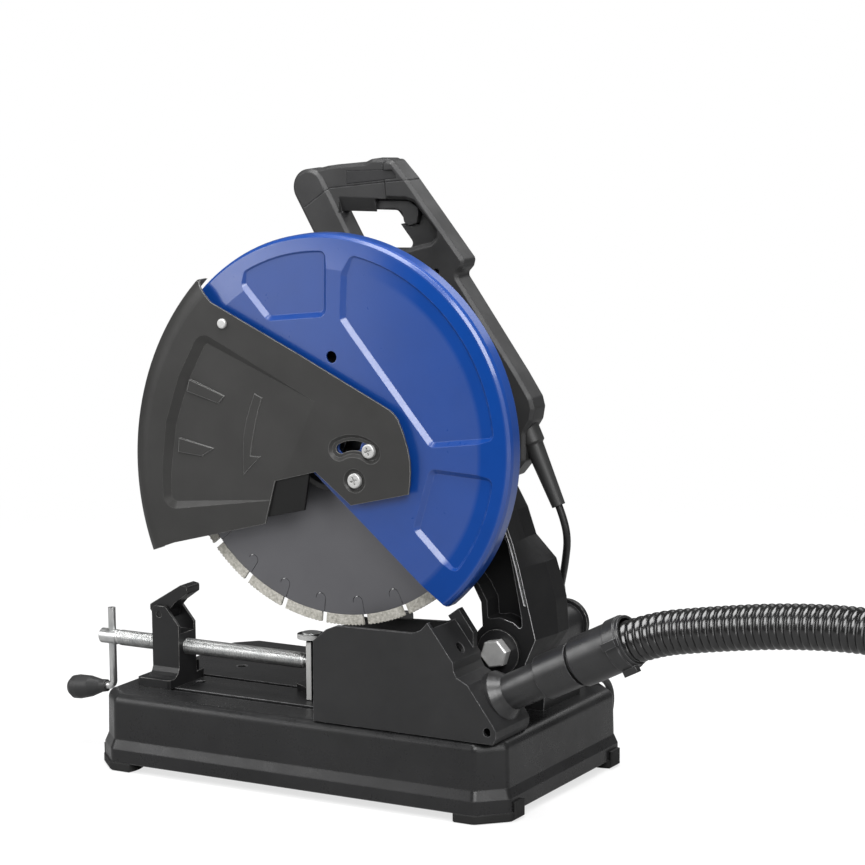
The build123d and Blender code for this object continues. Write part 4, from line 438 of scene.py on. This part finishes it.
# Materials
class Tree:
    """Adds shader nodes to a material and joins them."""

    def __init__(self, name):
        self.material = bpy.data.materials.new(name)
        self.material.use_nodes = True
        self.nodes = self.material.node_tree.nodes
        self.links = self.material.node_tree.links
        self.bsdf = self.nodes["Principled BSDF"]
        self.place = self.nodes.new("ShaderNodeTexCoord").outputs["Object"]

    def join(self, value, socket):
        if isinstance(value, bpy.types.NodeSocket):
            self.links.new(value, socket)
        else:
            socket.default_value = value

    def node(self, kind, inputs=None, **settings):
        made = self.nodes.new(kind)
        for key, value in settings.items():
            setattr(made, key, value)
        for key, value in (inputs or {}).items():
            self.join(value, made.inputs[key])
        return made

    def noise(self, scale, detail=3.0, rough=0.5, stretch=None, place=None):
        vector = place or self.place
        if stretch:
            vector = self.node("ShaderNodeMapping", {"Vector": vector, "Scale": stretch}).outputs[0]
        inputs = {"Vector": vector, "Scale": scale, "Detail": detail, "Roughness": rough}
        return self.node("ShaderNodeTexNoise", inputs).outputs["Fac"]

    def span(self, value, low, high, out_low=0.0, out_high=1.0):
        inputs = {"Value": value, "From Min": low, "From Max": high, "To Min": out_low, "To Max": out_high}
        return self.node("ShaderNodeMapRange", inputs).outputs[0]

    def maths(self, operation, a, b):
        made = self.node("ShaderNodeMath", operation=operation, use_clamp=True)
        self.join(a, made.inputs[0])
        self.join(b, made.inputs[1])
        return made.outputs[0]

    def mix(self, share, a, b):
        made = self.node("ShaderNodeMix", data_type="RGBA")
        self.join(share, made.inputs["Factor"])
        self.join((*a, 1.0) if isinstance(a, tuple) else a, made.inputs[6])
        self.join((*b, 1.0) if isinstance(b, tuple) else b, made.inputs[7])
        return made.outputs[2]

    def within(self, limits):
        """One inside the limits, each an axis with a lower and an upper bound in metres."""
        spot = self.node("ShaderNodeSeparateXYZ", {0: self.place})
        share = 1.0
        for axis, low, high in limits:
            value = spot.outputs[axis]
            share = self.maths("MULTIPLY", share, self.maths("GREATER_THAN", value, low))
            share = self.maths("MULTIPLY", share, self.maths("LESS_THAN", value, high))
        return share

    def ring(self, centre, radii, across):
        """One on a ring about a Y axis, fading in from low to high X: all in metres."""
        kind = "ShaderNodeVectorMath"
        off = self.node(kind, {0: self.place, 1: centre}, operation="SUBTRACT").outputs[0]
        flat = self.node(kind, {0: off, 1: (1.0, 0.0, 1.0)}, operation="MULTIPLY").outputs[0]
        reach = self.node(kind, {0: flat}, operation="LENGTH").outputs["Value"]
        side = self.node("ShaderNodeSeparateXYZ", {0: self.place}).outputs["X"]
        inner, outer = self.span(reach, *radii[:2]), self.span(reach, *radii[2:], 1.0, 0.0)
        share = self.maths("MULTIPLY", inner, outer)
        return self.maths("MULTIPLY", share, self.span(side, *across))

    def rounded(self, radius):
        return self.node("ShaderNodeBevel", {"Radius": radius}, samples=6).outputs[0]

    def edges(self, soft_normal, low=0.985, high=0.80):
        face = self.node("ShaderNodeNewGeometry").outputs["Normal"]
        made = self.node("ShaderNodeVectorMath", operation="DOT_PRODUCT")
        self.links.new(soft_normal, made.inputs[0])
        self.links.new(face, made.inputs[1])
        return self.span(made.outputs["Value"], low, high)

    def bump(self, height, strength, distance, normal=None):
        inputs = {"Height": height, "Strength": strength, "Distance": distance}
        if normal is not None:
            inputs["Normal"] = normal
        return self.node("ShaderNodeBump", inputs).outputs[0]

    def finish(self, colour, rough, normal, metallic=0.0, coat=0.0, coat_rough=0.1, specular=0.5):
        self.join((*colour, 1.0) if isinstance(colour, tuple) else colour, self.bsdf.inputs["Base Color"])
        self.join(rough, self.bsdf.inputs["Roughness"])
        self.join(normal, self.bsdf.inputs["Normal"])
        self.bsdf.inputs["Metallic"].default_value = metallic
        self.join(coat, self.bsdf.inputs["Coat Weight"])
        self.bsdf.inputs["Coat Roughness"].default_value = coat_rough
        self.join(specular, self.bsdf.inputs["Specular IOR Level"])
        return self.material


MIDDLE = (0.3, 0.7)
FINE_ROUGH, WEAR_AND_HIGHLIGHT_SCALE, EDGE_ELSEWHERE, DULL_SHARE = 0.04, 140.0, 0.12, 0.15


def surface(
    name,
    dark,
    light,
    rough,
    tint_scale=18.0,
    grain=900.0,
    grain_depth=0.00004,
    grain_strength=0.35,
    edge=None,
    edge_share=0.5,
    edge_radius=0.0009,
    metallic=0.0,
    coat=0.0,
    coat_rough=0.1,
    specular=0.5,
    stretch=None,
    tone_and_shade_place=None,
    tone_and_shade_colour=None,
    wear=(0.35, 0.65),
    edge_highlight_place=None,
    dull_ring=None,
):
    """Broad colour variation, fine grain in bump and roughness, lightened edges for wear and for painted
    highlights, patches by place for own colour and for painted shade.
    """
    tree = Tree(name)
    soft = tree.rounded(edge_radius)
    colour = tree.mix(tree.span(tree.noise(tint_scale, 4.0, 0.6), *MIDDLE), dark, light)
    fine = tree.noise(grain, 3.0, 0.6, stretch)
    # Edge colour: worn edges on some looks, painted highlights on the base, arm, guard and swing guard
    if edge:
        worn_and_highlit = tree.span(tree.noise(WEAR_AND_HIGHLIGHT_SCALE, 4.0, 0.65), *wear)
        worn_and_highlit = tree.maths("MULTIPLY", tree.edges(soft), worn_and_highlit)
        if edge_highlight_place:
            kept = tree.span(tree.within(edge_highlight_place), 0.0, 1.0, EDGE_ELSEWHERE, 1.0)
            worn_and_highlit = tree.maths("MULTIPLY", worn_and_highlit, kept)
        colour = tree.mix(tree.maths("MULTIPLY", worn_and_highlit, edge_share), colour, edge)
    # Patches by place: the jaw's bare zinc edge, and painted shade on the swing guard's inner faces
    if tone_and_shade_place:
        colour = tree.mix(tree.within(tone_and_shade_place), colour, tone_and_shade_colour)
    blotch = tree.noise(tint_scale * 2.7, 3.0, 0.5)
    broad_rough = tree.span(blotch, *MIDDLE, *rough)
    fine_rough = tree.span(fine, *MIDDLE, -FINE_ROUGH, FINE_ROUGH)
    roughness = tree.maths("ADD", broad_rough, fine_rough)
    normal = tree.bump(fine, grain_strength, grain_depth, soft)
    if dull_ring:
        dull = tree.ring(*dull_ring)
        coat = tree.span(dull, 0.0, 1.0, coat, DULL_SHARE * coat)
        specular = tree.span(dull, 0.0, 1.0, specular, DULL_SHARE * specular)
    return tree.finish(colour, roughness, normal, metallic, coat, coat_rough, specular)


# Swing guard: the pale edge colour is a painted highlight for its thin bright edge lines, broken up by the
# wear span
SWING = dict(
    dark=(0.026, 0.0256, 0.0247), light=(0.034, 0.0335, 0.0325), rough=(0.36, 0.46), grain=1100.0,
    grain_depth=0.00003, edge=(0.60, 0.60, 0.59), edge_share=0.55, edge_radius=0.0009, specular=0.3,
    wear=(0.2, 0.45),
)
BLACK_STEEL = dict(
    dark=(0.008, 0.008, 0.0085), light=(0.014, 0.014, 0.0145), rough=(0.30, 0.42), grain=800.0,
    edge=(0.55, 0.54, 0.52), edge_share=0.85, edge_radius=0.0008, specular=0.4,
)
looks = {
    # Base: the pale edge colour is a painted highlight along the folds and edges, broken up by the wear
    # span
    "base_paint": surface(
        "base_paint", (0.012, 0.012, 0.0125), (0.018, 0.018, 0.0185), (0.26, 0.36), grain=420.0,
        grain_depth=0.00005, edge=(0.42, 0.42, 0.425), edge_share=0.6, edge_radius=0.0016, specular=0.34,
        wear=(0.2, 0.5),
    ),
    "rubber": surface(
        "rubber", (0.010, 0.010, 0.010), (0.017, 0.017, 0.017), (0.60, 0.75), grain=1300.0,
        edge=(0.05, 0.05, 0.05), edge_share=0.3, edge_radius=0.0012, specular=0.3,
    ),
    # Arm: the pale edge colour, kept mostly to the near-right strip, is a painted highlight, broken up by
    # the wear span
    "arm_paint": surface(
        "arm_paint", (0.006, 0.006, 0.0063), (0.010, 0.010, 0.0104), (0.46, 0.58), grain=700.0,
        grain_depth=0.00009, grain_strength=0.5, edge=(0.80, 0.80, 0.81), edge_share=0.95,
        edge_radius=0.0011, specular=0.24, wear=(0.1, 0.35),
        edge_highlight_place=[("X", 0.188, 0.30), ("Y", -0.07, -0.0562)],
    ),
    # Guard: the pale blue edge colour is a painted highlight on the panel and rim edges
    "guard_blue": surface(
        "guard_blue", (0.003, 0.040, 0.215), (0.0035, 0.045, 0.240), (0.30, 0.36), grain=260.0,
        grain_depth=0.00001, grain_strength=0.06, edge=(0.25, 0.32, 0.62), edge_share=0.6,
        edge_radius=0.0012, coat=0.65, coat_rough=0.13,
        dull_ring=(mm((BLADE_X, 0, BLADE_Z)), (0.157, 0.162, 0.1835, 0.1855), (0.07, 0.13)),
    ),
    "swing_grey": surface("swing_grey", **SWING),
    "dark_plastic": surface(
        "dark_plastic", (0.022, 0.022, 0.0225), (0.034, 0.034, 0.0345), (0.38, 0.50), grain=1500.0,
        grain_depth=0.00006, grain_strength=0.45, edge=(0.20, 0.20, 0.205), edge_share=0.4,
        edge_radius=0.0018, specular=0.36,
    ),
    "soft_grip": surface(
        "soft_grip", (0.013, 0.013, 0.014), (0.020, 0.020, 0.021), (0.55, 0.68), grain=1800.0,
        grain_depth=0.00007, grain_strength=0.5, edge=(0.08, 0.08, 0.08), edge_share=0.3,
    ),
    "zinc": surface(
        "zinc", (0.50, 0.51, 0.51), (0.68, 0.68, 0.67), (0.30, 0.42), tint_scale=60.0, grain=1600.0,
        grain_depth=0.00002, edge=(0.85, 0.85, 0.84), edge_share=0.5, metallic=1.0, edge_radius=0.0005,
    ),
    "black_steel": surface("black_steel", **BLACK_STEEL),
    "steel": surface(
        "steel", (0.42, 0.42, 0.43), (0.55, 0.55, 0.56), (0.22, 0.36), tint_scale=40.0, grain=1400.0,
        edge=(0.7, 0.7, 0.7), metallic=1.0,
    ),
    "blade_steel": surface(
        "blade_steel", (0.142, 0.142, 0.152), (0.165, 0.165, 0.175), (0.38, 0.46), tint_scale=9.0,
        grain=1900.0, grain_depth=0.000015, grain_strength=0.2, edge=(0.02, 0.02, 0.02), edge_share=0.8,
        edge_radius=0.0004, metallic=0.8,
    ),
    "grit": surface(
        "grit", (0.30, 0.29, 0.25), (0.62, 0.60, 0.55), (0.60, 0.80), tint_scale=420.0, grain=900.0,
        grain_depth=0.0006, grain_strength=0.9, edge=(0.7, 0.68, 0.62), edge_share=0.5, edge_radius=0.0005,
        metallic=0.15,
    ),
    "iron": surface(
        "iron", (0.12, 0.10, 0.09), (0.22, 0.19, 0.17), (0.45, 0.6), tint_scale=50.0, grain=900.0,
        metallic=0.8,
    ),
    "hose_plastic": surface(
        "hose_plastic", (0.005, 0.005, 0.005), (0.009, 0.009, 0.009), (0.16, 0.24), grain=600.0,
        grain_depth=0.00003, edge_radius=0.0005, specular=0.7,
    ),
    "cord_rubber": surface(
        "cord_rubber", (0.009, 0.009, 0.009), (0.014, 0.014, 0.014), (0.36, 0.46), grain=1200.0,
        edge_radius=0.0004,
    ),
    "brass": surface(
        "brass", (0.62, 0.48, 0.20), (0.75, 0.60, 0.28), (0.22, 0.34), tint_scale=80.0, grain=1500.0,
        metallic=1.0,
    ),
}
# Swing guard: the inner plate and inner faces behind the front plate are near-black, the plate's own dark
# colour together with painted shade
swing_look_painted_shade = surface(
    "swing_plate_painted_shade", **SWING, tone_and_shade_place=[("X", -0.047, 0.03), ("Y", -0.1152, -0.10), ("Z", 0.25, 0.3145)],
    tone_and_shade_colour=(0.004, 0.004, 0.004),
)
box_look = surface(
    "box_plastic", (0.011, 0.011, 0.0115), (0.017, 0.017, 0.0175), (0.42, 0.54), grain=1500.0,
    grain_depth=0.00006, grain_strength=0.4, edge=(0.28, 0.28, 0.285), edge_share=0.6, edge_radius=0.0014,
    specular=0.4,
)
pipe_look = surface(
    "pipe_plastic", (0.014, 0.014, 0.0145), (0.022, 0.022, 0.0225), (0.28, 0.38), grain=1500.0,
    grain_depth=0.00005, grain_strength=0.4, edge=(0.30, 0.30, 0.305), edge_share=0.6, edge_radius=0.0012,
    specular=0.55,
)
jaw_look = surface(
    "jaw_steel", **BLACK_STEEL, tone_and_shade_place=[("X", -0.3, 0.05), ("Y", -0.09, -0.0655), ("Z", 0.05, 0.2)],
    tone_and_shade_colour=(0.50, 0.50, 0.49),
)
bolt_look = surface(
    "bolt_zinc", (0.46, 0.46, 0.455), (0.60, 0.60, 0.59), (0.34, 0.44), tint_scale=60.0, grain=1600.0,
    grain_depth=0.00002, edge=(0.85, 0.85, 0.84), edge_share=0.5, metallic=0.5, edge_radius=0.0006,
)
boot_look = surface(
    "boot_rubber", (0.018, 0.018, 0.018), (0.026, 0.026, 0.026), (0.40, 0.52), grain=1300.0,
    edge=(0.10, 0.10, 0.10), edge_share=0.4, edge_radius=0.0012, specular=0.5,
)
own_looks = {
    "swing_guard": swing_look_painted_shade,
    "dust_box": box_look,
    "dust_pipe": pipe_look,
    "hose_cuff": pipe_look,
    "hose_connector": pipe_look,
    "vise_jaw": jaw_look,
    "hinge_bolt": bolt_look,
    "swing_pivot_bolt": bolt_look,
    "swing_stop_bolt": bolt_look,
    "swing_lock_screw": bolt_look,
    "cord_boot": boot_look,
}
node_slots = {s["node"]: s["material_slot"] for s in frame["record"]["subparts"]}
for name, obj in nodes.items():
    obj.data.materials.clear()
    obj.data.materials.append(own_looks.get(name, looks[node_slots[name]]))
piece_looks = [
    (hose, "hose_plastic"),
    (lead, "cord_rubber"),
    (stored, "cord_rubber"),
    (screw, "zinc"),
    (teeth, "grit"),
    (arrow, "swing_grey"),
]
for piece, look in piece_looks:
    piece.data.materials.append(looks[look])


# Floor and light
FADE_REACH, FADE_SHARE, DIM_FLOOR = (0.5, 1.5), (0.72, 1.0), (0.30, 0.30, 0.30)


def floor_material():
    """Pale matt floor that fades into the white surround, dimmer to the object than to the camera."""
    tree = Tree("floor")
    colour = tree.mix(tree.noise(3.0, 3.0, 0.5), (0.86, 0.86, 0.86), (0.90, 0.90, 0.90))
    normal = tree.bump(tree.noise(250.0), 0.05, 0.0001)
    tree.finish(colour, 0.75, normal, specular=0.2)
    reach = tree.node("ShaderNodeVectorMath", {0: tree.place}, operation="LENGTH").outputs["Value"]
    glow = tree.node("ShaderNodeEmission", {"Color": (1, 1, 1, 1), "Strength": 1.0})
    faded = tree.node("ShaderNodeMixShader", {"Fac": tree.span(reach, *FADE_REACH, *FADE_SHARE)})
    tree.links.new(tree.bsdf.outputs[0], faded.inputs[1])
    tree.links.new(glow.outputs[0], faded.inputs[2])
    dim = tree.node("ShaderNodeBsdfDiffuse", {"Color": (*DIM_FLOOR, 1)})
    seen = tree.node("ShaderNodeLightPath")
    both = tree.node("ShaderNodeMixShader", {"Fac": seen.outputs["Is Camera Ray"]})
    tree.links.new(dim.outputs[0], both.inputs[1])
    tree.links.new(faded.outputs[0], both.inputs[2])
    tree.links.new(both.outputs[0], tree.nodes["Material Output"].inputs["Surface"])
    return tree.material


FLOOR_HALF = 7.0
FLOOR_Z = -0.0006
corners = [(-1, -1), (1, -1), (1, 1), (-1, 1)]
floor = mesh_piece("floor", [(x * FLOOR_HALF, y * FLOOR_HALF, FLOOR_Z) for x, y in corners], [(0, 1, 2, 3)])
floor.data.materials.append(floor_material())


def softbox(name, place, aim, width, height, power):
    data = bpy.data.lights.new(name, "AREA")
    data.shape = "RECTANGLE"
    data.size, data.size_y = width, height
    data.energy = power
    obj = link(bpy.data.objects.new(name, data))
    obj.location = place
    obj.rotation_mode = "QUATERNION"
    obj.rotation_quaternion = (Vector(aim) - Vector(place)).to_track_quat("-Z", "Y")
    return obj


# Name, place, aim, width, height and power of each light
LIGHTS = [
    ("key", (1.5, -1.9, 2.0), (0.05, 0, 0.3), 1.8, 1.4, 75),
    ("left", (-2.2, -1.6, 1.6), (0, 0, 0.3), 1.4, 1.0, 26),
    ("top", (0.1, -0.1, 2.4), (0, 0, 0.2), 1.8, 1.5, 80),
    ("back", (0.6, 2.4, 1.8), (0, 0, 0.3), 1.6, 0.8, 6),
    ("front_low", (-1.12, -1.22, 0.42), (0.0, -0.1, 0.36), 1.0, 0.64, 2.7),
    ("front_mid", (-0.95, -1.32, 0.62), (0.0, -0.1, 0.50), 0.9, 0.25, 1.9),
    ("right_low", (1.32, -0.62, 0.42), (0.1, 0, 0.4), 0.30, 0.8, 3.0),
]
for light in LIGHTS:
    softbox(*light)

AMBIENT = 0.12
world = bpy.data.worlds.new("studio")
world.use_nodes = True
bpy.context.scene.world = world
sky = world.node_tree
shade = sky.nodes["Background"]
shade.inputs["Color"].default_value = (1, 1, 1, 1)
shade.inputs["Strength"].default_value = AMBIENT
white = sky.nodes.new("ShaderNodeBackground")
white.inputs["Color"].default_value = (1, 1, 1, 1)
white.inputs["Strength"].default_value = 1.0
seen = sky.nodes.new("ShaderNodeLightPath")
both = sky.nodes.new("ShaderNodeMixShader")
sky.links.new(seen.outputs["Is Camera Ray"], both.inputs["Fac"])
sky.links.new(shade.outputs[0], both.inputs[1])
sky.links.new(white.outputs[0], both.inputs[2])
sky.links.new(both.outputs[0], sky.nodes["World Output"].inputs["Surface"])
bpy.context.scene.view_settings.view_transform = "Standard"
